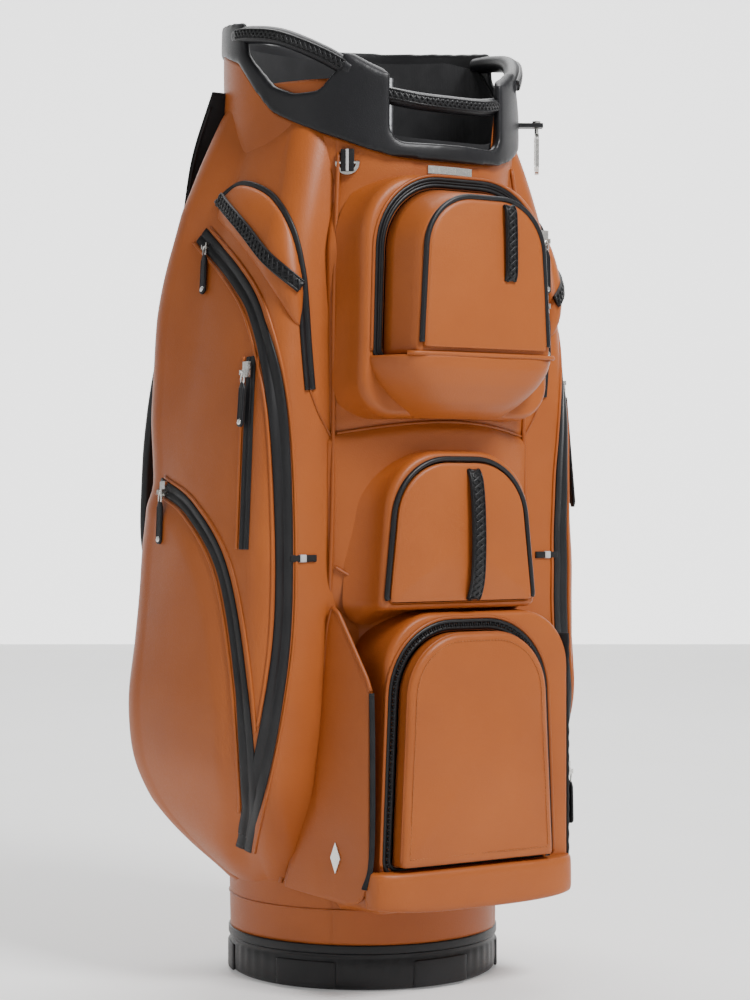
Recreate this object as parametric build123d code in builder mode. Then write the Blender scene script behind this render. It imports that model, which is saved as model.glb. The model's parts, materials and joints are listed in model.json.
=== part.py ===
"""Golf staff bag: moulded base, four-panel tube, sculpted collar with three grips, full-length dividers,
front and side pockets with doors, zips and pulls, shoulder strap and small hardware.

Millimetres. Z is up, the front pockets face -Y, and the origin is the centre of the base's underside.
"""

from build123d import *
import math
import os

# ---- driving dimensions ------------------------------------------------------------------------
base_radius = 127.0
base_height = 34.0
base_wall = 5.3
base_floor = 6.0
base_chamfer = 4.0
foot_count = 6
foot_phase = 2.5
foot_sweep = 27.5
foot_depth = 3.0
foot_proud = 1.6
foot_low = 2.0
foot_high = 27.0
rim_height = 8.0
rim_proud = 1.2
body_low = base_height + rim_height
flare = 0.0145
panel_wall = 5.0
seam_angle = 44.0
rear_seam_angle = 136.0
top_z = 904.0

collar_proud = 15.0
collar_radius = base_radius + collar_proud
collar_offset = -13.0
front_notch_half = 59.0
front_notch_low = 768.0
notch_corner = 14.0
side_notch_front = -118.0
side_notch_rear = -12.0
side_notch_low = 814.0
grip_radius = 8.6
grip_core_radius = 4.0
grip_seat = 0.3

stay_radius = 4.0
stay_angles = (42.0, -42.0, 138.0, -138.0)
stay_clearance = 0.3
stay_fit = 0.05
stay_boss_wall = 3.0
stay_boss_height = 20.0
floor_pad_height = 6.0
floor_pad_radius = base_radius - 19.0

divider_wall = 4.0
divider_clearance = 0.3
row_pitch = 62.0
column_pitch = 62.0
end_column = 38.0
divider_middle = -6.0
divider_top = 790.0
divider_slope = 0.2
divider_ring_height = 14.0
side_root = base_radius - 65.0

facing_angle = 33.0
side_corner_front = 26.0
side_corner_rear = 40.0
# Height, then how far the front edge, back edge, front face and back face stand out from the base.
side_sections = (
    (86.0, -15.0, -15.0, -77.0, -67.0),
    (129.0, 19.0, 33.0, -49.0, -45.0),
    (162.0, 38.0, 63.0, -37.0, -23.0),
    (200.0, 49.0, 82.0, -27.0, -16.0),
    (253.0, 53.0, 84.0, -18.0, -15.0),
    (333.0, 52.0, 75.0, -15.0, -17.0),
    (400.0, 51.0, 69.0, -14.0, -20.0),
    (465.0, 48.0, 64.0, -14.0, -22.0),
    (541.0, 43.0, 58.0, -14.0, -24.0),
    (617.0, 36.0, 50.0, -14.0, -30.0),
    (715.0, 16.0, 25.0, -17.0, -52.0),
    (806.0, -9.0, -9.0, -35.0, -72.0),
)
tape_width = 13.0
main_zip = (
    (-148.7, 692.0),
    (-114.0, 649.0),
    (-92.2, 606.0),
    (-73.3, 516.0),
    (-68.9, 358.0),
    (-80.4, 252.0),
    (-107.6, 127.0),
)
lower_zip = ((-188.4, 460.0), (-156.6, 437.0), (-124.5, 383.0), (-107.2, 287.0), (-100.7, 182.0))
small_zip = ((-98.0, 574.0), (-101.0, 490.0), (-104.2, 402.0))
upper_pad = (
    (-128.0, 700.0),
    (-124.5, 727.0),
    (-108.0, 733.0),
    (-81.7, 718.0),
    (-63.8, 687.0),
    (-52.0, 624.0),
    (-60.0, 590.0),
    (-84.0, 622.0),
    (-104.0, 660.0),
)
tape_height = 2.2
pad_height = 6.5

pocket_wall = 3.0
body_gap = 0.6
ball_case = (37.0 - base_radius, base_radius - 5.0, 49.0 - base_radius, base_radius - 5.0, 79.0, 345.0)
ball_door_shape = (-76.0, 92.0, -66.0, 82.0, 121.3, 328.0)
ball_corner = 58.0
ball_plane = -base_radius - 38.0
ball_front = ball_plane - 18.0
ball_panel = 5.0
lip_shape = (28.0 - base_radius, ball_case[1], 28.0 - base_radius, ball_case[1], 79.0, 118.0)
lip_front = ball_plane - 22.0
lip_round = 4.0
ball_ring = 11.0
gusset_thickness = 2.0
gusset_box = (ball_plane + 1.5, ball_plane + 49.0, 84.0, 322.0)

band_skin = 14.0
band_low = 347.0
band_high = 512.0
finder_case = (-86.0, 86.0, -74.0, 74.0, 348.0, 490.0)
finder_door_shape = (-78.0, 78.0, -64.0, 64.0, 355.0, 480.0)
finder_corner = 54.0
finder_plane = -base_radius - 36.0
finder_thickness = 5.0

top_case = (-104.0, 104.0, -98.0, 98.0, 519.0, 738.0)
top_corner = 60.0
top_plane = -base_radius - 33.0
top_front = top_plane - 43.0
top_lid_shape = (-82.0, 86.0, -77.0, 81.0, 574.0, 725.0)
top_nose_shape = (-74.0, 72.0, -66.0, 64.0, 576.0, 716.0)
top_nose_corner = 50.0
top_lid_wall = 4.0
top_ring_gap = 1.5
top_bowl = (-66.0, 66.0, -96.0, 92.0, 519.0, 573.2)
bowl_corner = 28.0
bowl_profile = (
    (top_front + 103, 600),
    (top_front, 600),
    (top_front, 562),
    (top_front + 11, 532),
    (top_front + 31, 519),
    (top_front + 103, 519),
)
pouch_shape = (-68.0, 66.0, -60.0, 58.0, 580.0, 712.0)
pouch_corner = 46.0
pouch_thickness = 4.0
piping_height = 4.0
finder_ring = 6.0

slip_front = ball_plane + 0.5
slip_plan = (
    (-base_radius + 3.0, -base_radius + 69.0),
    (-base_radius + 18.0, -base_radius + 8.0),
    (-base_radius + 29.0, slip_front),
    (-base_radius + 33.0, slip_front),
    (-base_radius + 22.5, -base_radius + 8.0),
    (-base_radius + 7.5, -base_radius + 69.0),
)
slip_side = (
    (-base_radius + 8.0, 353.0),
    (slip_front, 284.0),
    (slip_front, 110.0),
    (slip_front + 14.5, 87.0),
    (-base_radius + 65.0, 94.0),
    (-base_radius + 27.0, 200.0),
    (-base_radius + 13.0, 330.0),
)
slider_length = 14.0
slider_width = 8.4
slider_height = 3.0
lug_wall = 1.4
lug_length = 4.4
pin_radius = 0.8
pin_clearance = 0.05
pin_y = -3.0
pin_z = 4.8
pin_drop = 1.6
link_width = 5.0
link_length = 11.0
pull_width = 9.0
pull_length = 38.0
pull_thickness = 2.6
rivet_radius = 2.8
rivet_height = 0.8
rivet_inset = 5.5
slider_lift = 1.4
main_slider = (-139.0, 682.0, 0.0, 60.0)
lower_slider = (-181.0, 456.0, 0.0, 60.0)
small_slider = (-98.5, 562.0, -5.4, 150.0)
top_upper_slider = (94.0, top_plane - tape_height - 0.1, 688.0)
top_lower_slider = (94.0, top_plane - tape_height - 0.1, 628.0)
ball_front_slider = (ball_case[1] + gusset_thickness + 0.1, ball_plane + 8.0, 196.0)
ball_side_slider = (ball_case[1] + gusset_thickness + 0.1, ball_plane + 24.0, 214.0)
loop_length = 110.0

webbing_tab = ((-60.0, 391.0), (-44.0, 391.0), (-44.0, 397.0), (-60.0, 397.0))
webbing_thickness = 2.5
emblem_along = 68.5
emblem_z = 127.0
emblem_outline = ((-6, 0), (0, -14), (6, 0), (0, 14))
emblem_thickness = 1.6
badge_z = 744.5
badge_width = 48.0
badge_height = 7.0
badge_thickness = 2.0
ring_angle = 40.5
ring_z = 746.0
ring_tab_width = 12.0
ring_tab_height = 20.0
ring_tab_depth = 5.0
ring_bar_y = 3.2
ring_bar_z = 2.6
ring_wire = 1.5
ring_half = 11.0
hook_angle = -58.0
hook_z = 806.0
hook_reach = 17.5
tongue_tip = 6.0
tongue_root = 4.0
tongue_width = 12.0
tongue_thickness = 4.0
stud_radius = 2.0
stud_length = 9.0
hook_height = 40.0
hook_width = 17.0
hook_wire = 1.8
gate_x = hook_width / 2 - hook_wire
gate_low = -40.0
gate_high = -18.0
gate_pin_z = -38.0
fork_slot = 1.3
fork_depth = 4.5
shoulder_x = 3.0 - base_radius
shoulder_width = 38.0
shoulder_thickness = 3.0
shoulder_path = (
    (base_radius - 57.0, 138.0),
    (base_radius - 15.0, 156.0),
    (base_radius + 13.0, 205.0),
    (base_radius + 33.0, 290.0),
    (base_radius + 47.0, 360.0),
    (base_radius + 50.0, 435.0),
    (base_radius + 36.0, 530.0),
    (base_radius - 5.0, 640.0),
    (base_radius - 29.0, 720.0),
    (base_radius - 48.0, 775.0),
    (base_radius - 87.0, 830.0),
)
shoulder_pad_width = 46.0
shoulder_pad_thickness = 11.0
pad_from = 0.38
pad_to = 0.76

strap_width = 13.0
strap_thickness = 3.0
lid_strap_x = 22.0
lid_strap_path = (
    (top_front - 5.5, 706.0),
    (top_front - 6.5, 690.0),
    (top_front - 6.5, 650.0),
    (top_front - 7.5, 640.0),
)
finder_strap_x = 10.0
finder_strap_path = (
    (finder_plane - 7.2, 472.0),
    (finder_plane - 16.0, 440.0),
    (finder_plane - 19.0, 410.0),
    (finder_plane - 15.0, 380.0),
    (finder_plane - 7.2, 358.0),
)
upper_braid_line = ((-124.0, 722.0), (-100.0, 686.0), (-76.0, 652.0), (-58.0, 634.0))
upper_braid_width = 9.0

os.makedirs("parts", exist_ok=True)


def save(part, name):
    """Labels one sub-part and writes its STEP file."""
    part.label = name
    export_step(part, f"parts/{name}.step")


def tube_centre(z):
    return -flare * (z - body_low)


def tube_radius(z, skin=0.0):
    return base_radius + flare * (z - body_low) + skin


def tube(skin, low, high):
    """The bag's round core: a leaning cone whose back line is vertical, grown by skin."""
    with BuildPart() as core:
        for z in (low, high):
            with BuildSketch(Plane.XY.offset(z)):
                with Locations((0, tube_centre(z))):
                    Circle(tube_radius(z, skin))
        loft()
    return core.part


def on_tube(angle, z, skin=0.0):
    """A point on the core at an angle from the front, positive towards -X."""
    a = math.radians(angle)
    radius = tube_radius(z, skin)
    return Vector(-radius * math.sin(a), tube_centre(z) - radius * math.cos(a), z)


def arch_points(shape, grow=0.0):
    """Corners of an arch's front view: its sides lean in, and grow widens it all round."""
    left_low, right_low, left_high, right_high, low, high = shape
    return (
        (left_low - grow, low - grow),
        (right_low + grow, low - grow),
        (right_high + grow, high + grow),
        (left_high - grow, high + grow),
    )


def arch_block(shape, corner, near, far, grow=0.0, rounded=-1):
    """A block from y = near back to y = far whose front view is an arch with two rounded corners."""
    with BuildPart() as block:
        with BuildSketch(Plane.XZ.offset(-near)) as face:
            Polygon(*arch_points(shape, grow), align=None)
            fillet(face.vertices().group_by(Axis.Y)[rounded], corner + grow)
        extrude(amount=near - far)
    return block.part


def ring_sector(inner, outer, low, high, centre_angle, sweep):
    """A sector of a ring about Z, with its middle at an angle from the front."""
    with BuildPart() as sector:
        with BuildSketch(Plane.XZ) as profile:
            with Locations(((inner + outer) / 2, (low + high) / 2)):
                Rectangle(outer - inner, high - low)
        revolve(axis=Axis.Z, revolution_arc=sweep)
    turn = -90.0 - centre_angle - sweep / 2
    return sector.part.rotate(Axis.Z, turn)


# ---- whole volumes that several pieces are cut from ----------------------------------------------
core_outer = tube(0.0, 0.0, 950.0)
core_inner = tube(-panel_wall, 0.0, 950.0)
core_clear = tube(-panel_wall - divider_clearance, 0.0, 950.0)

collar_edge = ((-260, 747), (-175, 747), (-140, 754), (-117, 767), (-53, 799), (-4, 850), (40, 864), (150, 871), (260, 871))
collar_crown = ((-260, 818), (-175, 818), (-135, 832), (-118, 848), (-60, 876), (-12, 888), (60, 897), (150, top_z), (260, top_z))

with BuildPart() as above_edge:
    with BuildSketch(Plane.YZ):
        with BuildLine():
            Polyline(*collar_edge)
            Polyline(collar_edge[-1], (260, 980), (-260, 980), collar_edge[0])
        make_face()
    extrude(amount=2 * base_radius, both=True)

with BuildPart() as below_crown:
    with BuildSketch(Plane.YZ):
        with BuildLine():
            Polyline(*collar_crown)
            Polyline(collar_crown[-1], (260, 0), (-260, 0), collar_crown[0])
        make_face()
    extrude(amount=2 * base_radius, both=True)

# ---- base ----------------------------------------------------------------------------------------
stay_skin = -panel_wall - stay_clearance - stay_radius
with BuildPart() as base_cup:
    Cylinder(base_radius, base_height, align=(Align.CENTER, Align.CENTER, Align.MIN))
    chamfer(base_cup.edges().group_by(Axis.Z)[0], base_chamfer)
    with Locations((0, 0, base_floor)):
        Cylinder(
            base_radius - base_wall,
            base_height,
            align=(Align.CENTER, Align.CENTER, Align.MIN),
            mode=Mode.SUBTRACT,
        )
    for angle in stay_angles:
        foot = on_tube(angle, base_floor, stay_skin)
        with Locations(foot):
            Cylinder(
                stay_radius + stay_boss_wall,
                stay_boss_height,
                align=(Align.CENTER, Align.CENTER, Align.MIN),
            )
    for index in range(foot_count):
        recess = ring_sector(
            base_radius - foot_depth,
            base_radius + 5,
            foot_low,
            foot_high,
            foot_phase + index * 360 / foot_count,
            foot_sweep,
        )
        add(recess, mode=Mode.SUBTRACT)


def stay(angle, radius, low):
    """One straight rod that follows the core's wall from low to under the collar's crown."""
    top = 826.0 if abs(angle) < 90 else 872.0
    start = on_tube(angle, low, stay_skin)
    end = on_tube(angle, top, stay_skin)
    with BuildPart() as rod:
        with BuildSketch(Plane(origin=start, z_dir=end - start)):
            Circle(radius)
        extrude(amount=(end - start).length)
    return rod.part


with BuildPart() as support_stays:
    for angle in stay_angles:
        add(stay(angle, stay_radius, base_floor + 0.5))

with BuildPart() as bored_cup:
    add(base_cup.part)
    for angle in stay_angles:
        add(stay(angle, stay_radius + stay_fit, base_floor), mode=Mode.SUBTRACT)
save(bored_cup.part, "base_cup")
save(support_stays.part, "support_stays")

with BuildPart() as foot_pads:
    for index in range(foot_count):
        add(
            ring_sector(
                base_radius - foot_depth + 0.1,
                base_radius + foot_proud,
                foot_low + 0.1,
                foot_high - 0.1,
                foot_phase + index * 360 / foot_count,
                foot_sweep - 0.2,
            )
        )
save(foot_pads.part, "base_foot_pads")

with BuildPart() as rim_binding:
    with Locations((0, 0, base_height)):
        Cylinder(
            base_radius + rim_proud,
            rim_height,
            align=(Align.CENTER, Align.CENTER, Align.MIN),
        )
        Cylinder(
            base_radius - base_wall,
            rim_height,
            align=(Align.CENTER, Align.CENTER, Align.MIN),
            mode=Mode.SUBTRACT,
        )
save(rim_binding.part, "base_rim_binding")

with BuildPart() as floor_pad:
    with Locations((0, 0, base_floor)):
        Cylinder(
            floor_pad_radius,
            floor_pad_height,
            align=(Align.CENTER, Align.CENTER, Align.MIN),
        )
save(floor_pad.part, "floor_pad")

# ---- body panels ---------------------------------------------------------------------------------
with BuildPart() as body_shell:
    add(tube(0.0, body_low, 900.0))
    add(core_inner, mode=Mode.SUBTRACT)
    add(above_edge.part, mode=Mode.SUBTRACT)


def wedge(start, stop):
    """A tall wedge about the core's axis between two angles from the front."""
    reach = 400.0
    hub = (0.0, -6.0)
    middle = (start + stop) / 2
    rays = [
        (hub[0] - reach * math.sin(math.radians(a)), hub[1] - reach * math.cos(math.radians(a)))
        for a in (start, middle, stop)
    ]
    with BuildPart() as block:
        with BuildSketch(Plane.XY):
            Polygon(hub, *rays, align=None)
        extrude(amount=950)
    return block.part


panel_spans = {
    "front_panel": (-seam_angle, seam_angle),
    "left_side_panel": (seam_angle, rear_seam_angle),
    "spine_panel": (rear_seam_angle, 360 - rear_seam_angle),
    "right_side_panel": (-rear_seam_angle, -seam_angle),
}
for name, (start, stop) in panel_spans.items():
    with BuildPart() as panel:
        add(body_shell.part)
        add(wedge(start, stop), mode=Mode.INTERSECT)
    save(panel.part, name)

# ---- collar and grips ----------------------------------------------------------------------------
collar_front = collar_offset - collar_radius
with BuildPart() as front_gap:
    with BuildSketch(Plane.XZ.offset(collar_radius - 42)) as front_notch:
        Polygon(
            (-front_notch_half, front_notch_low),
            (front_notch_half, front_notch_low),
            (front_notch_half, 900),
            (-front_notch_half, 900),
            align=None,
        )
        fillet(front_notch.vertices().group_by(Axis.Y)[0], notch_corner)
    extrude(amount=80)

with BuildPart() as side_gap:
    with BuildSketch(Plane.YZ):
        Polygon(
            (side_notch_front, 920),
            (side_notch_front + 4, 838),
            (-100, side_notch_low + 2),
            (-78, side_notch_low),
            (-54, 824),
            (side_notch_rear - 8, 858),
            (side_notch_rear, 920),
            align=None,
        )
    extrude(amount=2 * base_radius, both=True)


def grip(radius, hollow, points):
    """A round bar, or a sleeve with a bore, along straight runs joined by arcs."""
    with BuildPart() as bar:
        with BuildLine() as path:
            FilletPolyline(*points, radius=24)
        rail = path.wires()[0]
        start = rail @ 0
        along = rail % 0
        with BuildSketch(Plane(origin=start, z_dir=along)):
            Circle(radius)
            if hollow:
                Circle(hollow, mode=Mode.SUBTRACT)
        sweep()
    return bar.part


def collar_point(angle, z, inset):
    """A point inside the collar's wall, at an angle from the front."""
    a = math.radians(angle)
    radius = collar_radius - inset
    return (-radius * math.sin(a), collar_offset - radius * math.cos(a), z)


grip_inset = 6.0
side_path = [
    collar_point(40.0, 832.0, grip_inset),
    collar_point(51.0, 848.0, grip_inset),
    collar_point(68.0, 866.0, grip_inset),
    collar_point(84.0, 874.0, grip_inset),
    collar_point(97.0, 877.0, grip_inset),
]
front_path = [
    (-front_notch_half - 9, collar_front + 30, 812),
    (-34, collar_front + 12, 806),
    (34, collar_front + 12, 806),
    (front_notch_half + 9, collar_front + 30, 812),
]
mirrored_path = [(-x, y, z) for x, y, z in side_path]
bars = {"left": side_path, "right": mirrored_path, "front": front_path}
gaps = {"left": side_gap.part, "right": side_gap.part, "front": front_gap.part}
for name, points in bars.items():
    with BuildPart() as sleeve:
        add(grip(grip_radius, grip_core_radius, points))
        add(gaps[name], mode=Mode.INTERSECT)
    save(sleeve.part, f"{name}_grip")

with BuildPart() as grip_cores:
    for points in bars.values():
        add(grip(grip_core_radius, 0.0, points))
save(grip_cores.part, "grip_cores")

with BuildPart() as top_collar:
    with BuildSketch(Plane.XY.offset(730)):
        with Locations((0, collar_offset)):
            Circle(collar_radius)
    extrude(amount=200)
    add(core_inner, mode=Mode.SUBTRACT)
    add(above_edge.part, mode=Mode.INTERSECT)
    add(below_crown.part, mode=Mode.INTERSECT)
    add(front_gap.part, mode=Mode.SUBTRACT)
    add(side_gap.part, mode=Mode.SUBTRACT)
    add(grip_cores.part, mode=Mode.SUBTRACT)
save(top_collar.part, "top_collar")

# ---- dividers ------------------------------------------------------------------------------------
ring_inset = panel_wall + 2 * stay_clearance + 2 * stay_radius + divider_clearance


def under_slope(top):
    """Everything below a plane that rises towards the back."""
    with BuildPart() as block:
        with BuildSketch(Plane.YZ):
            Polygon(
                (-200, top - 200 * divider_slope),
                (200, top + 200 * divider_slope),
                (200, 0),
                (-200, 0),
                align=None,
            )
        extrude(amount=2 * base_radius, both=True)
    return block.part


ring_top = under_slope(divider_top)
ring_bottom = under_slope(divider_top - divider_ring_height)
divider_cone = tube(-ring_inset, 0.0, 950.0)
with BuildPart() as divider_ring:
    add(core_clear)
    add(divider_cone, mode=Mode.SUBTRACT)
    add(ring_top, mode=Mode.INTERSECT)
    add(ring_bottom, mode=Mode.SUBTRACT)
    for angle in stay_angles:
        add(stay(angle, stay_radius + stay_fit, base_floor), mode=Mode.SUBTRACT)
save(divider_ring.part, "divider_ring")

divider_low = base_floor + floor_pad_height
with BuildPart() as bars_block:
    with Locations(*[(0, divider_middle + k * row_pitch, divider_low) for k in (-1, 0, 1)]):
        Box(300, divider_wall, 900, align=(Align.CENTER, Align.CENTER, Align.MIN))
    add(divider_cone, mode=Mode.INTERSECT)
    add(ring_top, mode=Mode.INTERSECT)

end_rows = [(x, divider_middle + k * 1.5 * row_pitch) for k in (-1, 1) for x in (-end_column, end_column)]
mid_rows = [(x, divider_middle + k * 0.5 * row_pitch) for k in (-1, 1) for x in (-column_pitch, 0, column_pitch)]
with BuildPart() as cross_block:
    with Locations(*[(x, y, divider_low) for x, y in end_rows + mid_rows]):
        Box(divider_wall, row_pitch - divider_wall, 900, align=(Align.CENTER, Align.CENTER, Align.MIN))
    add(divider_cone, mode=Mode.INTERSECT)
    add(ring_top, mode=Mode.INTERSECT)
divider_walls = Compound(children=list(bars_block.part.solids()) + list(cross_block.part.solids()))
save(divider_walls, "divider_walls")

# ---- side pockets --------------------------------------------------------------------------------


def side_block(grow=0.0):
    """The left pocket's outside, lofted through its plan at each height and cut back to the core."""
    with BuildPart() as block:
        for z, front_out, rear_out, face_out, back_out in side_sections:
            front_x = base_radius + front_out
            rear_x = base_radius + rear_out
            front_y = -base_radius - face_out
            rear_y = base_radius + back_out
            with BuildSketch(Plane.XY.offset(z)) as plan:
                Polygon(
                    (-side_root, front_y - grow),
                    (-front_x - grow, front_y - grow),
                    (-rear_x - grow, rear_y + grow),
                    (-side_root, rear_y + grow),
                    align=None,
                )
                outer = plan.vertices().filter_by(lambda v: v.X < -side_root - 1)
                fillet(outer.sort_by(Axis.Y)[0], side_corner_front + grow)
                outer = plan.vertices().filter_by(lambda v: v.X < -side_root - 1 and v.Y > 0)
                fillet(outer.sort_by(Axis.Y)[-1], side_corner_rear + grow)
        loft(ruled=True)
        add(core_outer, mode=Mode.SUBTRACT)
    return block.part


with BuildPart() as collar_envelope:
    with BuildSketch(Plane.XY.offset(730)):
        with Locations((0, collar_offset)):
            Circle(collar_radius)
    extrude(amount=200)
    add(above_edge.part, mode=Mode.INTERSECT)

with BuildPart() as left_side:
    add(side_block())
    add(collar_envelope.part, mode=Mode.SUBTRACT)
left_block = left_side.part
f = math.radians(facing_angle)
oblique = Plane(
    origin=(0, 0, 0),
    x_dir=(math.cos(f), -math.sin(f), 0),
    z_dir=(-math.sin(f), -math.cos(f), 0),
)


def strip_on_left(points, width, skin):
    """A strip of one width and thickness that follows a curve over the left pocket's skin."""
    with BuildPart() as strip:
        with BuildSketch(oblique):
            with BuildLine():
                Spline(*points)
            trace(line_width=width)
        extrude(amount=400)
        add(side_block(skin), mode=Mode.INTERSECT)
        add(left_block, mode=Mode.SUBTRACT)
    return strip.part.solids().sort_by(SortBy.VOLUME)[-1]


def pad_on_left(points, skin):
    """A padded panel of one thickness inside an outline on the left pocket's skin."""
    with BuildPart() as pad:
        with BuildSketch(oblique):
            Polygon(*points, align=None)
        extrude(amount=400)
        add(side_block(skin), mode=Mode.INTERSECT)
        add(left_block, mode=Mode.SUBTRACT)
    return pad.part


save(left_block, "left_side_pocket")
save(left_block.mirror(Plane.YZ), "right_side_pocket")
left_pad = pad_on_left(upper_pad, pad_height)
save(left_pad, "left_upper_pocket")
save(left_pad.mirror(Plane.YZ), "right_upper_pocket")
tapes = [strip_on_left(points, tape_width, tape_height) for points in (main_zip, lower_zip, small_zip)]
side_tapes = Compound(children=tapes + [tape.mirror(Plane.YZ) for tape in tapes])
save(side_tapes, "side_zip_tapes")
right_block = left_block.mirror(Plane.YZ)

# ---- ball pocket ---------------------------------------------------------------------------------
with BuildPart() as ball_room:
    add(arch_block(ball_door_shape, ball_corner, ball_plane - 1, 0, -pocket_wall))
    add(tube(pocket_wall, 0.0, 950.0), mode=Mode.SUBTRACT)

with BuildPart() as ball_body:
    add(arch_block(ball_case, ball_corner, ball_plane, 0))
    add(core_outer, mode=Mode.SUBTRACT)
    add(right_block, mode=Mode.SUBTRACT)
    add(left_block, mode=Mode.SUBTRACT)
    add(ball_room.part, mode=Mode.SUBTRACT)
save(ball_body.part, "ball_pocket_body")

with BuildPart() as ball_door:
    add(arch_block(ball_door_shape, ball_corner, ball_front, ball_plane - body_gap))
    add(
        arch_block(ball_door_shape, ball_corner, ball_front + ball_panel, ball_plane, -pocket_wall),
        mode=Mode.SUBTRACT,
    )
save(ball_door.part, "ball_pocket_door")

with BuildPart() as ball_tape:
    add(arch_block(ball_door_shape, ball_corner, ball_plane - tape_height, ball_plane, ball_ring))
    add(arch_block(ball_door_shape, ball_corner, ball_front, 0, body_gap), mode=Mode.SUBTRACT)
    with Locations((0, ball_plane, 0)):
        Box(400, 400, 2 * (lip_shape[5] + body_gap), mode=Mode.SUBTRACT)
save(ball_tape.part, "ball_pocket_zip_tape")

with BuildPart() as ball_lip:
    add(arch_block(lip_shape, 6.0, lip_front, ball_plane))
    lip_edges = ball_lip.faces().sort_by(Axis.Y)[0].edges()
    fillet(lip_edges, lip_round)
save(ball_lip.part, "ball_pocket_lip")

# ---- slip pocket on the left flank of the ball pocket --------------------------------------------
with BuildPart() as slip_window:
    with BuildSketch(Plane.YZ):
        Polygon(*slip_side, align=None)
    extrude(amount=-200)

with BuildPart() as slip:
    with BuildSketch(Plane.XY.offset(60)):
        Polygon(*slip_plan, align=None)
    extrude(amount=320)
    add(slip_window.part, mode=Mode.INTERSECT)
    add(core_outer, mode=Mode.SUBTRACT)
    add(left_block, mode=Mode.SUBTRACT)
    add(ball_body.part, mode=Mode.SUBTRACT)
save(slip.part, "slip_pocket")

# ---- rangefinder pocket --------------------------------------------------------------------------
with BuildPart() as band:
    add(tube(band_skin, band_low, band_high))
    add(wedge(-seam_angle + 0.5, seam_angle - 0.5), mode=Mode.INTERSECT)
with BuildPart() as finder_room:
    add(arch_block(finder_door_shape, finder_corner, finder_plane - 1, 0, -pocket_wall))
    add(tube(pocket_wall, 0.0, 950.0), mode=Mode.SUBTRACT)

with BuildPart() as finder_body:
    add(arch_block(finder_case, finder_corner, finder_plane, 0))
    add(band.part)
    add(core_outer, mode=Mode.SUBTRACT)
    add(left_block, mode=Mode.SUBTRACT)
    add(right_block, mode=Mode.SUBTRACT)
    add(finder_room.part, mode=Mode.SUBTRACT)
save(finder_body.part, "rangefinder_pocket_body")

finder_front = finder_plane - body_gap - finder_thickness
save(arch_block(finder_door_shape, finder_corner, finder_front, finder_plane - body_gap), "rangefinder_door")
with BuildPart() as finder_piping:
    add(arch_block(finder_door_shape, finder_corner, finder_plane - piping_height, finder_plane, finder_ring))
    add(arch_block(finder_door_shape, finder_corner, ball_front, 0, body_gap), mode=Mode.SUBTRACT)
    with Locations((0, finder_plane, 0)):
        Box(400, 400, 2 * finder_door_shape[4], mode=Mode.SUBTRACT)
save(finder_piping.part, "rangefinder_piping")

# ---- top pocket ----------------------------------------------------------------------------------
with BuildPart() as bowl_side:
    with BuildSketch(Plane.YZ):
        Polygon(*bowl_profile, align=None)
    extrude(amount=2 * base_radius, both=True)

with BuildPart() as bowl:
    add(arch_block(top_bowl, bowl_corner, top_front, -100, 0.0, 0))
    add(bowl_side.part, mode=Mode.INTERSECT)
with BuildPart() as top_room:
    add(arch_block(top_lid_shape, top_corner, top_plane - 1, 0, -pocket_wall))
    add(tube(pocket_wall, 0.0, 950.0), mode=Mode.SUBTRACT)

with BuildPart() as top_body:
    add(arch_block(top_case, top_corner, top_plane, 0))
    add(bowl.part)
    add(core_outer, mode=Mode.SUBTRACT)
    add(left_block, mode=Mode.SUBTRACT)
    add(right_block, mode=Mode.SUBTRACT)
    add(collar_envelope.part, mode=Mode.SUBTRACT)
    add(top_room.part, mode=Mode.SUBTRACT)
save(top_body.part, "top_pocket_body")


def lid_block(rear, front, shrink):
    """The top pocket's bulging front, lofted from its seam to its smaller nose."""
    with BuildPart() as block:
        with BuildSketch(Plane.XZ.offset(-rear)) as back_face:
            Polygon(*arch_points(top_lid_shape, -shrink), align=None)
            fillet(back_face.vertices().group_by(Axis.Y)[-1], top_corner - shrink)
        with BuildSketch(Plane.XZ.offset(-front)) as nose:
            Polygon(*arch_points(top_nose_shape, -shrink), align=None)
            fillet(nose.vertices().group_by(Axis.Y)[-1], top_nose_corner - shrink)
        loft()
    return block.part


with BuildPart() as top_lid:
    add(lid_block(top_plane - body_gap, top_front, 0.0))
    add(lid_block(top_plane, top_front + top_lid_wall, top_lid_wall), mode=Mode.SUBTRACT)
save(top_lid.part, "top_pocket_lid")
save(arch_block(pouch_shape, pouch_corner, top_front - pouch_thickness, top_front), "top_pouch_panel")
with BuildPart() as top_tape:
    add(arch_block(top_lid_shape, top_corner, top_plane - tape_height, top_plane, ball_ring))
    add(arch_block(top_lid_shape, top_corner, top_front, 0, top_ring_gap), mode=Mode.SUBTRACT)
    with Locations((0, top_plane, 0)):
        Box(400, 400, 2 * top_lid_shape[4], mode=Mode.SUBTRACT)
    add(collar_envelope.part, mode=Mode.SUBTRACT)
save(top_tape.part, "top_pocket_zip_tape")


# ---- braided straps ------------------------------------------------------------------------------
def strap(points, width, thickness):
    """A flat strap swept along a path in the plane x = 0, its width across the bag."""
    with BuildPart() as band_part:
        with BuildLine(Plane.YZ) as path:
            Spline(*points)
        rail = path.wires()[0]
        with BuildSketch(Plane(origin=rail @ 0, x_dir=(1, 0, 0), z_dir=rail % 0)):
            Rectangle(width, thickness)
        sweep()
    return band_part.part


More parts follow.
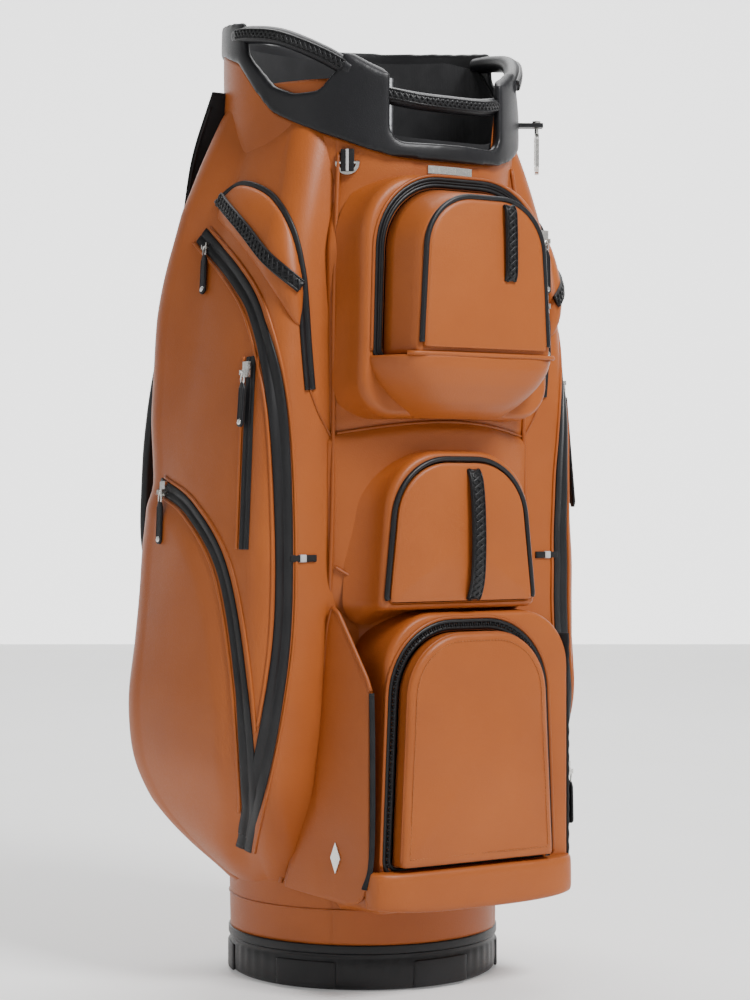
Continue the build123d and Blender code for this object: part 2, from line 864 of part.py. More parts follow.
lid_strap = strap(lid_strap_path, strap_width, strap_thickness)
with BuildPart() as lid_strap_part:
    with Locations((lid_strap_x, 0, 0)):
        add(lid_strap)
save(lid_strap_part.part, "top_pocket_braid")
finder_strap = strap(finder_strap_path, strap_width, strap_thickness)
with BuildPart() as finder_strap_part:
    with Locations((finder_strap_x, 0, 0)):
        add(finder_strap)
save(finder_strap_part.part, "rangefinder_braid")
with BuildPart() as upper_braid:
    with BuildSketch(oblique):
        with BuildLine():
            Spline(*upper_braid_line)
        trace(line_width=upper_braid_width)
    extrude(amount=400)
    add(side_block(pad_height + strap_thickness), mode=Mode.INTERSECT)
    add(side_block(pad_height), mode=Mode.SUBTRACT)
    add(collar_envelope.part, mode=Mode.SUBTRACT)
side_braids = Compound(children=[upper_braid.part, upper_braid.part.mirror(Plane.YZ)])
save(side_braids, "side_pocket_braids")


# ---- zip sliders and pulls -----------------------------------------------------------------------
# Every slider sits in its own frame: x across the zip, y up along it and z out of the bag.
def slider_at(frame):
    """A slider: a body on the tape, and two lugs that carry a cross pin above it."""
    with BuildPart() as slider:
        with Locations((0, 0, slider_height / 2)):
            Box(slider_width, slider_length, slider_height)
        for side in (-1, 1):
            with Locations((side * (slider_width - lug_wall) / 2, pin_y, pin_z / 2 + slider_height / 2)):
                Box(lug_wall, lug_length, pin_z)
        with Locations(Location((0, pin_y, pin_z + slider_height / 2 - pin_drop), (0, 90, 0))):
            Cylinder(pin_radius, slider_width)
    return frame * slider.part


def pull_at(frame, length):
    """A pull that hangs from the slider's pin: metal link, leather tab or loop, and rivet."""
    eye_z = pin_z + slider_height / 2 - pin_drop
    with BuildPart() as link:
        with Locations(Location((0, pin_y, eye_z), (0, 90, 0))):
            Cylinder(pull_thickness / 2, link_width)
        with Locations((0, pin_y - link_length / 2, eye_z)):
            Box(link_width, link_length, pull_thickness)
        with Locations(Location((0, pin_y, eye_z), (0, 90, 0))):
            Cylinder(pin_radius + pin_clearance, link_width, mode=Mode.SUBTRACT)
    with BuildPart() as tab:
        with Locations((0, pin_y - link_length - length / 2, eye_z)):
            Box(pull_width, length, pull_thickness)
        fillet(tab.edges().filter_by(Axis.Z).group_by(Axis.Y)[0], pull_width / 2 - 0.3)
    with BuildPart() as rivet:
        with Locations((0, pin_y - link_length - pull_length + rivet_inset, eye_z + pull_thickness / 2)):
            Cylinder(rivet_radius, rivet_height, align=(Align.CENTER, Align.CENTER, Align.MIN))
    return Compound(children=[frame * link.part, frame * tab.part, frame * rivet.part])


def left_skin(u, z):
    """The point of the left pocket's skin behind a point of the oblique view."""
    start = oblique.from_local_coords((u, z, 400))
    hits = left_block.find_intersection_points(Axis(start, -oblique.z_dir))
    return max(hits, key=lambda hit: hit[0].dot(oblique.z_dir))


def frame_on_left(u, z, drop_u, drop_z, lift):
    """A slider's frame whose y axis runs up the skin from a second point below the first."""
    point, normal = left_skin(u, z)
    lower = left_skin(u + drop_u, z - drop_z)[0]
    up = (point - lower).normalized()
    out = (normal - up * normal.dot(up)).normalized()
    return Plane(origin=point + out * lift, x_dir=up.cross(out), z_dir=out).location


def frame_on_front(x, y, z):
    return Plane(origin=(x, y, z), x_dir=(1, 0, 0), z_dir=(0, -1, 0)).location


def frame_on_right(x, y, z):
    return Plane(origin=(x, y, z), x_dir=(0, 1, 0), z_dir=(1, 0, 0)).location


def mirrored(frame):
    """The same frame on the right-hand side."""
    plane = Plane(frame)
    x_dir = Vector(plane.x_dir.X, -plane.x_dir.Y, -plane.x_dir.Z)
    z_dir = Vector(-plane.z_dir.X, plane.z_dir.Y, plane.z_dir.Z)
    origin = Vector(-plane.origin.X, plane.origin.Y, plane.origin.Z)
    return Plane(origin=origin, x_dir=x_dir, z_dir=z_dir).location


left_main_frame = frame_on_left(*main_slider, tape_height + slider_lift)
left_small_frame = frame_on_left(*small_slider, tape_height + slider_lift)
frames = {
    "left_main": left_main_frame,
    "right_main": mirrored(left_main_frame),
    "left_lower": frame_on_left(*lower_slider, tape_height + slider_lift),
    "left_small": left_small_frame,
    "right_small": mirrored(left_small_frame),
    "top_upper": frame_on_front(*top_upper_slider),
    "top_lower": frame_on_front(*top_lower_slider),
    "ball_front": frame_on_right(*ball_front_slider),
    "ball_side": frame_on_right(*ball_side_slider),
}
moving = ("left_small", "ball_side")
fixed_sliders = [slider_at(frame) for name, frame in frames.items() if name not in moving]
save(Compound(children=fixed_sliders), "zip_sliders")
for name, frame in frames.items():
    if name in moving:
        save(slider_at(frame), f"{name}_slider")
    save(pull_at(frame, loop_length if name == "right_small" else pull_length), f"{name}_pull")

with BuildPart() as side_gusset:
    near, far, low, high = gusset_box
    with Locations((ball_case[1], (near + far) / 2, (low + high) / 2)):
        Box(gusset_thickness, far - near, high - low, align=(Align.MIN, Align.CENTER, Align.CENTER))
    add(arch_block(ball_case, ball_corner, ball_front, 0), mode=Mode.SUBTRACT)
    add(right_block, mode=Mode.SUBTRACT)
save(side_gusset.part, "ball_pocket_side_gusset")

# ---- trim and small hardware ---------------------------------------------------------------------
left_tab = pad_on_left(webbing_tab, webbing_thickness)
save(Compound(children=[left_tab, left_tab.mirror(Plane.YZ)]), "webbing_tabs")

slip_start = Vector(slip_plan[0][0], slip_plan[0][1], 0)
slip_stop = Vector(slip_plan[2][0], slip_plan[2][1], 0)
slip_along = (slip_stop - slip_start).normalized()
slip_out = Vector(0, 0, 1).cross(slip_along) * -1
emblem_place = slip_start + slip_along * emblem_along + Vector(0, 0, emblem_z)
with BuildPart() as emblem:
    with BuildSketch(Plane(origin=emblem_place, x_dir=slip_along, z_dir=slip_out)):
        Polygon(*emblem_outline)
    extrude(amount=emblem_thickness)
save(emblem.part, "emblem")

with BuildPart() as badge:
    add(tube(badge_thickness, badge_z - badge_height / 2, badge_z + badge_height / 2))
    with Locations((0, 0, badge_z)):
        Box(badge_width, 400, 2 * badge_height, align=(Align.CENTER, Align.MAX, Align.CENTER), mode=Mode.INTERSECT)
    add(core_outer, mode=Mode.SUBTRACT)
save(badge.part, "badge_plate")


def frame_on_tube(angle, z, skin=0.0):
    a = math.radians(angle)
    return Plane(
        origin=on_tube(angle, z, skin),
        x_dir=(math.cos(a), -math.sin(a), 0),
        z_dir=(-math.sin(a), -math.cos(a), 0),
    ).location


ring_place = frame_on_tube(ring_angle, ring_z)
with BuildPart() as ring_tab:
    with Locations((0, 0, -1)):
        Box(ring_tab_width, ring_tab_height, ring_tab_depth + 1, align=(Align.CENTER, Align.MIN, Align.MIN))
    with Locations(Location((0, ring_bar_y, ring_bar_z), (0, 90, 0))):
        Cylinder(ring_wire + pin_clearance, 2 * ring_tab_width, mode=Mode.SUBTRACT)
ring_tab_solid = (ring_place * ring_tab.part) - core_outer - collar_envelope.part
save(ring_tab_solid, "d_ring_tab")

with BuildPart() as d_ring:
    with Locations(Location((0, ring_bar_y, ring_bar_z), (0, 90, 0))):
        Cylinder(ring_wire, 2 * ring_half)
    with BuildSketch(Plane.XY.offset(ring_bar_z - ring_wire)):
        with Locations((0, ring_bar_y)):
            Circle(ring_half)
            Circle(ring_half - 2 * ring_wire, mode=Mode.SUBTRACT)
            Rectangle(4 * ring_half, 2 * ring_half, align=(Align.CENTER, Align.MIN), mode=Mode.SUBTRACT)
    extrude(amount=2 * ring_wire)
save(ring_place * d_ring.part, "d_ring")

# The towel hook hangs from an eyelet in a short leather tongue under the collar's right side.
hook_a = math.radians(hook_angle)
hook_out = Vector(-math.sin(hook_a), -math.cos(hook_a), 0)
hook_origin = Vector(0, collar_offset, hook_z) + hook_out * (collar_radius + hook_reach)
hook_place = Plane(origin=hook_origin, x_dir=Vector(0, 0, 1).cross(hook_out), z_dir=(0, 0, 1)).location
with BuildPart() as towel_loop:
    with Locations((0, -tongue_tip, 0)):
        Box(
            tongue_width,
            hook_reach + tongue_tip + tongue_root,
            tongue_thickness,
            align=(Align.CENTER, Align.MIN, Align.MAX),
        )
    with Locations((0, 0, -tongue_thickness)):
        Cylinder(stud_radius + pin_clearance, 4 * tongue_thickness, mode=Mode.SUBTRACT)
tongue_cut = hook_place.inverse() * (collar_envelope.part + core_outer)
save(hook_place * (towel_loop.part - tongue_cut), "towel_loop")

with BuildPart() as towel_hook:
    with Locations((0, 0, body_gap / 2)):
        Cylinder(stud_radius * 2, stud_radius, align=(Align.CENTER, Align.CENTER, Align.MIN))
    with Locations((0, 0, body_gap)):
        Cylinder(stud_radius, stud_length + 4 * body_gap, align=(Align.CENTER, Align.CENTER, Align.MAX))
    with BuildSketch(Plane.XZ.offset(-hook_wire)):
        with Locations((0, -stud_length - hook_height / 2)):
            SlotOverall(hook_height, hook_width, rotation=90)
            SlotOverall(hook_height - 4 * hook_wire, hook_width - 4 * hook_wire, rotation=90, mode=Mode.SUBTRACT)
    extrude(amount=2 * hook_wire)
    with Locations((gate_x, 0, (gate_low + gate_high) / 2)):
        Box(4 * hook_wire, 8 * hook_wire, gate_high - gate_low, mode=Mode.SUBTRACT)
    with Locations((gate_x, 0, gate_low - 1)):
        Box(2 * hook_wire, fork_slot - 2 * pin_clearance, fork_depth, align=(Align.CENTER, Align.CENTER, Align.MIN))
    with Locations(Location((gate_x, 0, gate_pin_z), (90, 0, 0))):
        Cylinder(pin_radius, 2 * hook_wire)
save(hook_place * towel_hook.part, "towel_hook")

with BuildPart() as towel_gate:
    with Locations((gate_x, 0, gate_pin_z - 1)):
        Box(
            2 * hook_wire,
            2 * hook_wire,
            gate_high - gate_pin_z + 1 - body_gap / 2,
            align=(Align.CENTER, Align.CENTER, Align.MIN),
        )
    with Locations((gate_x, 0, gate_low)):
        Box(4 * hook_wire, fork_slot, 2 * fork_depth, mode=Mode.SUBTRACT)
    with Locations(Location((gate_x, 0, gate_pin_z), (90, 0, 0))):
        Cylinder(pin_radius + pin_clearance, 4 * hook_wire, mode=Mode.SUBTRACT)
save(hook_place * towel_gate.part, "towel_hook_gate")


# ---- shoulder strap ------------------------------------------------------------------------------
def rear_strap(width, thickness, start, stop):
    """Part of the strap that bows out behind the left pocket, between two fractions of its length."""
    with BuildPart() as run:
        with BuildLine(Plane.YZ) as path:
            Spline(*shoulder_path)
        rail = path.edges()[0].trim(start, stop)
        with BuildSketch(Plane(origin=rail @ 0, x_dir=(1, 0, 0), z_dir=rail % 0)):
            Rectangle(width, thickness)
        sweep(path=rail)
    return Pos(shoulder_x, 0, 0) * run.part


strap_whole = rear_strap(shoulder_width, shoulder_thickness, 0.0, 1.0)
shoulder = strap_whole - core_outer - left_block - collar_envelope.part
save(shoulder.solids().sort_by(SortBy.VOLUME)[-1], "shoulder_strap")
pad = rear_strap(shoulder_pad_width, shoulder_pad_thickness, pad_from, pad_to) - strap_whole
save(pad, "shoulder_pad")
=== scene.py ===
"""Golf staff bag: the visual model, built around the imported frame."""
import bpy
import math
import json
import numpy as np
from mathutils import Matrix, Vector
from mathutils.bvhtree import BVHTree


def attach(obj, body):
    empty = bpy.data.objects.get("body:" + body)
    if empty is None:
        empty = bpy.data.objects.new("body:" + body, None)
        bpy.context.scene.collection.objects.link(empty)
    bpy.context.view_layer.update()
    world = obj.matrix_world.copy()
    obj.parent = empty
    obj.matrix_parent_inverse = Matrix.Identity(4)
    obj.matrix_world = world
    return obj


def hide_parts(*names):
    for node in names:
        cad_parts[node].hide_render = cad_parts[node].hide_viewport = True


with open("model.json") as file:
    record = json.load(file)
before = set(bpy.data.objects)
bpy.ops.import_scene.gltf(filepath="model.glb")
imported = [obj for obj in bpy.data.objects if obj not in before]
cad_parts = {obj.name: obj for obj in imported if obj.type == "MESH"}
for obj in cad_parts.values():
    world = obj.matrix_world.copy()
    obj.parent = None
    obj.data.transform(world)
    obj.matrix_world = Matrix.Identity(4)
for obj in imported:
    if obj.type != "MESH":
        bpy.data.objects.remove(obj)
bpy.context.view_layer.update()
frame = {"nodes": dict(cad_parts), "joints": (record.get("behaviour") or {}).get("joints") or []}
MM = 0.001
TAU = 2 * math.pi

# ------------------------------------------------------------------ sizes shared with the CAD, in mm
BASE_R, FLARE, BODY_LOW = 127.0, 0.0145, 42.0
COLLAR_Y, COLLAR_R = -13.0, 142.0
FACING = math.radians(33.0)
RIGHT = np.array([math.cos(FACING), -math.sin(FACING), 0.0])
AHEAD = np.array([math.sin(FACING), math.cos(FACING), 0.0])
# the side pockets' plan, bottom to top: height, half width in front and behind, front and rear y
SECTIONS = np.array([
    (60, 100, 100, -40, 50), (86, 112, 112, -50, 60), (129, 146, 160, -78, 82), (162, 165, 190, -90, 104),
    (200, 176, 209, -100, 111), (253, 180, 211, -109, 112), (333, 179, 202, -112, 110), (400, 178, 196, -113,
                                                                                         107),
    (465, 175, 191, -113, 105), (541, 170, 185, -113, 103), (617, 163, 177, -113, 97), (715, 143, 152, -110,
                                                                                        75),
    (806, 116, 118, -92, 55), (840, 100, 100, -80, 45)], float)
# zips and seams of the left pocket, as (across, up) seen along the camera's direction
MAIN_ZIP = [(-148.7, 692), (-114, 649), (-92.2, 606), (-73.3, 516), (-68.9, 358), (-80.4, 252), (-107.6, 127)]
LOWER_ZIP = [(-188.4, 460), (-156.6, 437), (-124.5, 383), (-107.2, 287), (-100.7, 182), (-106, 140)]
SMALL_ZIP = [(-98, 574), (-101, 490), (-104.2, 402)]
UPPER_ARC = [(-132, 716), (-124.5, 727), (-108, 733), (-81.7, 718), (-63.8, 687), (-55, 651), (-52, 624),
             (-49, 580), (-46, 544)]
# arches, as (left foot, right foot, left shoulder, right shoulder, foot height, top height)
BALL = (-76.0, 92.0, -66.0, 82.0, 121.3, 328.0)
BALL_CASE = (-90.0, 122.0, -78.0, 122.0, 79.0, 345.0)
FINDER = (-78.0, 78.0, -64.0, 64.0, 355.0, 480.0)
FINDER_CASE = (-86.0, 86.0, -74.0, 74.0, 348.0, 490.0)
TOP_CASE = (-104.0, 104.0, -98.0, 98.0, 519.0, 738.0)
TOP_LID = (-82.0, 86.0, -77.0, 81.0, 574.0, 725.0)
TOP_NOSE = (-74.0, 72.0, -66.0, 64.0, 576.0, 716.0)
POUCH = (-68.0, 66.0, -60.0, 58.0, 580.0, 712.0)
# where each pocket's front wall and its door's face stand, in y
BALL_PLANE, BALL_FRONT, FINDER_PLANE, FINDER_FRONT = -165.0, -183.0, -163.0, -168.6
TOP_PLANE, TOP_FRONT = -160.0, -203.0


# ------------------------------------------------------------------ camera
camera_data = bpy.data.cameras.new("photo_camera")
camera_data.lens = 84.3
camera_data.sensor_width = 36.0
camera_data.clip_start = 0.05
camera = bpy.data.objects.new("photo_camera", camera_data)
bpy.context.scene.collection.objects.link(camera)
camera.location = Vector(-2.25 * AHEAD + 0.012 * RIGHT) + Vector((0, 0, 0.446))
camera.rotation_euler = (math.radians(90), 0, -FACING)
bpy.context.scene.camera = camera


# ------------------------------------------------------------------ materials
def material(name, color, roughness, metallic=0.0, coat=0.0, sheen=0.0):
    m = bpy.data.materials.new(name)
    m.use_nodes = True
    b = m.node_tree.nodes["Principled BSDF"]
    b.inputs["Base Color"].default_value = (*color, 1)
    b.inputs["Roughness"].default_value = roughness
    b.inputs["Metallic"].default_value = metallic
    b.inputs["Coat Weight"].default_value = coat
    b.inputs["Sheen Weight"].default_value = sheen
    b.inputs["Specular IOR Level"].default_value = 0.5 if metallic else 0.32
    return m, m.node_tree, b


def object_coords(tree):
    return tree.nodes.new("ShaderNodeTexCoord").outputs["Object"]


def noise(tree, coords, scale, detail=2.0):
    n = tree.nodes.new("ShaderNodeTexNoise")
    n.inputs["Scale"].default_value = scale
    n.inputs["Detail"].default_value = detail
    tree.links.new(coords, n.inputs["Vector"])
    return n.outputs["Fac"]


def voronoi(tree, coords, scale, feature="F1"):
    n = tree.nodes.new("ShaderNodeTexVoronoi")
    n.feature = feature
    n.inputs["Scale"].default_value = scale
    tree.links.new(coords, n.inputs["Vector"])
    return n.outputs["Distance"]


def remap(tree, value, low, high, to_low, to_high):
    n = tree.nodes.new("ShaderNodeMapRange")
    n.inputs["From Min"].default_value = low
    n.inputs["From Max"].default_value = high
    n.inputs["To Min"].default_value = to_low
    n.inputs["To Max"].default_value = to_high
    tree.links.new(value, n.inputs["Value"])
    return n.outputs["Result"]


def blend_colors(tree, factor, low, high):
    n = tree.nodes.new("ShaderNodeMix")
    n.data_type = "RGBA"
    n.inputs[6].default_value = (*low, 1)
    n.inputs[7].default_value = (*high, 1)
    tree.links.new(factor, n.inputs[0])
    return n.outputs[2]


def bump(tree, b, height, strength, distance, under=None):
    n = tree.nodes.new("ShaderNodeBump")
    n.inputs["Strength"].default_value = strength
    n.inputs["Distance"].default_value = distance
    tree.links.new(height, n.inputs["Height"])
    if under is not None:
        tree.links.new(under, n.inputs["Normal"])
    tree.links.new(n.outputs["Normal"], b.inputs["Normal"])
    return n.outputs["Normal"]


def leather(name, low, high, roughness, grain=760.0, depth=0.00016, coat=0.0):
    """Pebbled leather: cells for the grain, broad noise for tone and a little wear."""
    m, tree, b = material(name, high, roughness, coat=coat)
    coords = object_coords(tree)
    cells = voronoi(tree, coords, grain)
    fine = noise(tree, coords, grain * 2.2, 3.0)
    broad = noise(tree, coords, 9.0, 4.0)
    tone = remap(tree, broad, 0.3, 0.7, 0.0, 1.0)
    tree.links.new(blend_colors(tree, tone, low, high), b.inputs["Base Color"])
    tree.links.new(remap(tree, cells, 0.0, 0.8, roughness + 0.08, roughness - 0.05), b.inputs["Roughness"])
    first = bump(tree, b, fine, 0.25, depth * 0.5)
    second = bump(tree, b, cells, 0.55, depth, first)
    bump(tree, b, noise(tree, coords, 38.0, 3.0), 0.22, 0.0012, second)
    return m


def woven(name, low, high, roughness, scale=420.0, stretch=(1, 1, 1)):
    m, tree, b = material(name, high, roughness, sheen=0.03)
    coords = object_coords(tree)
    waves = []
    for direction in ("X", "Z"):
        w = tree.nodes.new("ShaderNodeTexWave")
        w.bands_direction = direction
        w.inputs["Scale"].default_value = scale
        w.inputs["Distortion"].default_value = 0.6
        tree.links.new(coords, w.inputs["Vector"])
        waves.append(w.outputs["Fac"])
    mul = tree.nodes.new("ShaderNodeMath")
    mul.operation = "MULTIPLY"
    tree.links.new(waves[0], mul.inputs[0])
    tree.links.new(waves[1], mul.inputs[1])
    tone = remap(tree, noise(tree, coords, 60.0, 3.0), 0.3, 0.7, 0.0, 1.0)
    tree.links.new(blend_colors(tree, tone, low, high), b.inputs["Base Color"])
    bump(tree, b, mul.outputs[0], 0.5, 0.0003)
    return m


def moulded(name, low, high, roughness, scale=900.0, strength=0.3):
    m, tree, b = material(name, high, roughness)
    coords = object_coords(tree)
    tone = remap(tree, noise(tree, coords, 25.0, 3.0), 0.3, 0.7, 0.0, 1.0)
    tree.links.new(blend_colors(tree, tone, low, high), b.inputs["Base Color"])
    speck = noise(tree, coords, scale, 4.0)
    tree.links.new(remap(tree, speck, 0.3, 0.7, roughness - 0.06, roughness + 0.08), b.inputs["Roughness"])
    bump(tree, b, speck, strength, 0.0002)
    return m


def metal(name, color, roughness):
    m, tree, b = material(name, color, roughness, metallic=1.0)
    coords = object_coords(tree)
    rub = noise(tree, coords, 350.0, 4.0)
    tree.links.new(remap(tree, rub, 0.3, 0.7, roughness - 0.05, roughness + 0.1), b.inputs["Roughness"])
    bump(tree, b, rub, 0.08, 0.0001)
    return m


TAN = leather("tan_leather", (0.285, 0.068, 0.0105), (0.335, 0.084, 0.0135), 0.46)
TAN_EDGE = leather("tan_piping", (0.235, 0.056, 0.009), (0.285, 0.07, 0.0115), 0.46)
BLACK = leather("black_leather", (0.006, 0.006, 0.007), (0.011, 0.011, 0.013), 0.42, 900.0, 0.0001)
BRAID = leather("braid_leather", (0.005, 0.005, 0.006), (0.01, 0.01, 0.011), 0.36, 1200.0, 0.00008)
RUBBER = moulded("black_rubber", (0.005, 0.005, 0.006), (0.01, 0.01, 0.011), 0.42)
PLASTIC = moulded("black_plastic", (0.005, 0.005, 0.006), (0.01, 0.01, 0.011), 0.48)
FABRIC = woven("black_fabric", (0.005, 0.005, 0.006), (0.011, 0.011, 0.012), 0.8)
LINING = woven("pocket_lining", (0.005, 0.005, 0.006), (0.01, 0.01, 0.011), 0.9, 300.0)
NICKEL = metal("nickel", (0.72, 0.71, 0.68), 0.24)
ALLOY = metal("stay_alloy", (0.62, 0.63, 0.65), 0.35)
THREAD = moulded("thread", (0.30, 0.10, 0.03), (0.36, 0.12, 0.035), 0.7, 1500.0)
STRIPE = moulded("silver_stripe", (0.38, 0.38, 0.39), (0.5, 0.5, 0.5), 0.4, 1500.0)


# ------------------------------------------------------------------ mesh helpers
def place(name, verts, faces, mat, body="bag", slot="tan_leather", nodes=(), smooth=True):
    """Makes a mesh object from points in mm, rides it on a body and hides the CAD nodes it stands for."""
    mesh = bpy.data.meshes.new(name)
    mesh.from_pydata([tuple(v) for v in np.asarray(verts, float) * MM], [],
                     [tuple(int(i) for i in f) for f in faces])
    mesh.validate()
    mesh.update()
    mesh.materials.append(mat)
    mesh.shade_smooth() if smooth else mesh.shade_flat()
    obj = bpy.data.objects.new(name, mesh)
    bpy.context.scene.collection.objects.link(obj)
    if nodes:
        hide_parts(*nodes)
    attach(obj, body)
    return obj


def merge(parts):
    """Several (verts, faces) as one."""
    verts, faces, start = [], [], 0
    for v, f in parts:
        verts.append(np.asarray(v, float))
        faces += [[i + start for i in face] for face in f]
        start += len(v)
    return np.vstack(verts), faces


def ring_loft(rings, close_start=False, close_end=False, closed=True):
    """Quads between rings of equal length; closed rings wrap round."""
    n = len(rings[0])
    verts = np.vstack(rings)
    faces = []
    span = n if closed else n - 1
    for r in range(len(rings) - 1):
        for i in range(span):
            j = (i + 1) % n
            faces.append([r * n + i, r * n + j, (r + 1) * n + j, (r + 1) * n + i])
    if close_start:
        verts = np.vstack([verts, np.mean(rings[0], axis=0)])
        faces += [[len(verts) - 1, (i + 1) % n, i] for i in range(n)]
    if close_end:
        verts = np.vstack([verts, np.mean(rings[-1], axis=0)])
        k = (len(rings) - 1) * n
        faces += [[len(verts) - 1, k + i, k + (i + 1) % n] for i in range(n)]
    return verts, faces


def curve_points(points, count):
    """Evenly spaced points on a smooth curve through a few."""
    p = np.asarray(points, float)
    ext = np.vstack([2 * p[0] - p[1], p, 2 * p[-1] - p[-2]])
    dense = []
    for k in range(1, len(ext) - 2):
        for t in np.linspace(0, 1, 40, endpoint=False):
            a, b, c, d = ext[k - 1], ext[k], ext[k + 1], ext[k + 2]
            dense.append(0.5 * (2 * b + (c - a) * t + (2 * a - 5 * b + 4 * c - d) * t**2
                                + (3 * b - a - 3 * c + d) * t**3))
    dense.append(p[-1])
    return resample(np.array(dense), count)


def resample(line, count, closed=False):
    """Evenly spaced points along a polyline."""
    line = np.asarray(line, float)
    if closed:
        line = np.vstack([line, line[:1]])
    s = np.concatenate([[0], np.cumsum(np.linalg.norm(np.diff(line, axis=0), axis=1))])
    at = np.linspace(0, s[-1], count, endpoint=not closed)
    return np.stack([np.interp(at, s, line[:, k]) for k in range(line.shape[1])], axis=1)


def unit(v):
    v = np.asarray(v, float)
    return v / np.maximum(np.linalg.norm(v, axis=-1, keepdims=True), 1e-9)


def tangents(line, closed=False):
    """Unit directions along a line of points."""
    if closed:
        return unit(np.roll(line, -1, axis=0) - np.roll(line, 1, axis=0))
    return unit(np.gradient(line, axis=0))


def sweep(line, normals, profile, closed=False, caps=True):
    """Sweeps a closed profile of (across, up) points along a line whose up directions are given."""
    t = tangents(line, closed)
    up = unit(normals - t * np.sum(normals * t, axis=1, keepdims=True))
    side = np.cross(t, up)
    rings = [line[i] + np.outer(profile[:, 0], side[i]) + np.outer(profile[:, 1], up[i])
             for i in range(len(line))]
    if closed:
        rings.append(rings[0])
    return ring_loft(rings, caps and not closed, caps and not closed)


def circle(r, n=10):
    """A round profile for sweep."""
    a = np.linspace(0, TAU, n, endpoint=False)
    return np.stack([r * np.cos(a), r * np.sin(a)], axis=1)


def rounded(w, h, r, n=4, lift=0.0):
    """A rounded rectangle profile, w across and h high, standing on lift."""
    pts = []
    for cx, cy, a0 in ((w / 2 - r, h / 2 - r, 0), (-w / 2 + r, h / 2 - r, 90), (-w / 2 + r, -h / 2 + r, 180),
                       (w / 2 - r, -h / 2 + r, 270)):
        for k in range(n + 1):
            a = math.radians(a0 + 90 * k / n)
            pts.append((cx + r * math.cos(a), cy + r * math.sin(a) + lift))
    return np.array(pts)


ZIP_PROFILE = np.array([(-6.8, -1.5), (-6.8, 0.9), (-6.1, 1.7), (-4.6, 1.9), (-1.0, 1.7), (-0.5, 1.0),
                        (0.5, 1.0),
                        (1.0, 1.7), (4.6, 1.9), (6.1, 1.7), (6.8, 0.9), (6.8, -1.5)])


def tube_y(z):
    """Where the leaning tube's axis stands at a height."""
    return -FLARE * (z - BODY_LOW)


def tube_r(z):
    """The flaring tube's radius at a height."""
    return BASE_R + FLARE * (z - BODY_LOW)


def on_tube(angle, z, skin=0.0):
    """A point on the round core; angle is in degrees from the front, positive to the left."""
    a = np.radians(angle)
    r = tube_r(z) + skin
    return np.stack([-r * np.sin(a), tube_y(z) - r * np.cos(a), z + 0 * a], axis=-1)


def soft(points, size, amount, seed=0.0):
    """A smooth, fixed wobble, in mm, from sines of the position."""
    p = np.asarray(points, float) / size
    x, y, z = p[..., 0] + seed, p[..., 1] - seed, p[..., 2] + 2 * seed
    return amount * (np.sin(x * 2.1 + np.sin(z * 1.7)) + np.sin(y * 1.9 + z * 1.3) + np.sin(z * 2.7 + x)) / 3


def arch_loop(shape, corner, count, grow=0.0, y=0.0, corner_low=6.0):
    """Points round an arch's front view, from the middle of its foot, in the plane y."""
    l0, r0, l1, r1, low, high = shape
    pts = np.array([(l0 - grow, low - grow), (r0 + grow, low - grow), (r1 + grow, high + grow),
                    (l1 - grow, high + grow)])
    radii = (max(corner_low + grow, 1.0), max(corner_low + grow, 1.0), max(corner + grow, 2.0),
             max(corner + grow, 2.0))
    line = []
    for k in range(4):
        p, before, after = pts[k], unit(pts[k - 1] - pts[k]), unit(pts[(k + 1) % 4] - pts[k])
        half = math.acos(np.clip(np.dot(before, after), -1, 1)) / 2
        reach = min(radii[k] / math.tan(half), 0.48 * np.linalg.norm(pts[k - 1] - pts[k]),
                    0.48 * np.linalg.norm(pts[(k + 1) % 4] - pts[k]))
        r = reach * math.tan(half)
        centre = p + unit(before + after) * r / math.sin(half)
        a0 = math.atan2(*(p + before * reach - centre)[::-1])
        a1 = math.atan2(*(p + after * reach - centre)[::-1])
        while a1 < a0:
            a1 += TAU
        for t in np.linspace(a0, a1, 14):
            line.append(centre + r * np.array([math.cos(t), math.sin(t)]))
    line = np.array(line)
    start = np.array([[(l0 + r0) / 2, low - grow]])
    line = np.vstack([start, line[14:], line[:14]])
    loop = resample(line, count, closed=True)
    return np.stack([loop[:, 0], np.full(count, y), loop[:, 1]], axis=1)


def graded(points, key):
    """A smooth step from 0 to 1 between two values."""
    t = np.clip((np.asarray(points, float) - key[0]) / (key[1] - key[0]), 0, 1)
    return t * t * (3 - 2 * t)


def flipped(verts, faces):
    """The mirror image in the plane x = 0."""
    v = np.array(verts, float)
    v[:, 0] *= -1
    return v, [list(reversed(f)) for f in faces]


def grid_faces(rows, cols, wrap=False):
    """Quads over a grid of points."""
    faces = []
    for r in range(rows - 1):
        for c in range(cols if wrap else cols - 1):
            d = (c + 1) % cols
            faces.append([r * cols + c, r * cols + d, (r + 1) * cols + d, (r + 1) * cols + c])
    return faces


def closed_shell(outer, inner):
    """Two grids of points joined along their rims into one closed skin."""
    r, c = outer.shape[:2]
    n = r * c
    rim = list(range(c)) + [k * c + c - 1 for k in range(1, r)]
    rim += [(r - 1) * c + i for i in range(c - 2, -1, -1)] + [k * c for k in range(r - 2, 0, -1)]
    faces = grid_faces(r, c) + [[i + n for i in reversed(f)] for f in grid_faces(r, c)]
    faces += [[b, a, a + n, b + n] for a, b in zip(rim, rim[1:] + rim[:1])]
    return np.vstack([outer.reshape(-1, 3), inner.reshape(-1, 3)]), faces


def line_distance(points, line):
    """How far points of a plane are from a polyline in it."""
    best = np.full(len(points), 1e9)
    for a, b in zip(line[:-1], line[1:]):
        d = b - a
        t = np.clip(((points - a) @ d) / max(d @ d, 1e-9), 0, 1)
        best = np.minimum(best, np.linalg.norm(points - (a + t[:, None] * d), axis=1))
    return best


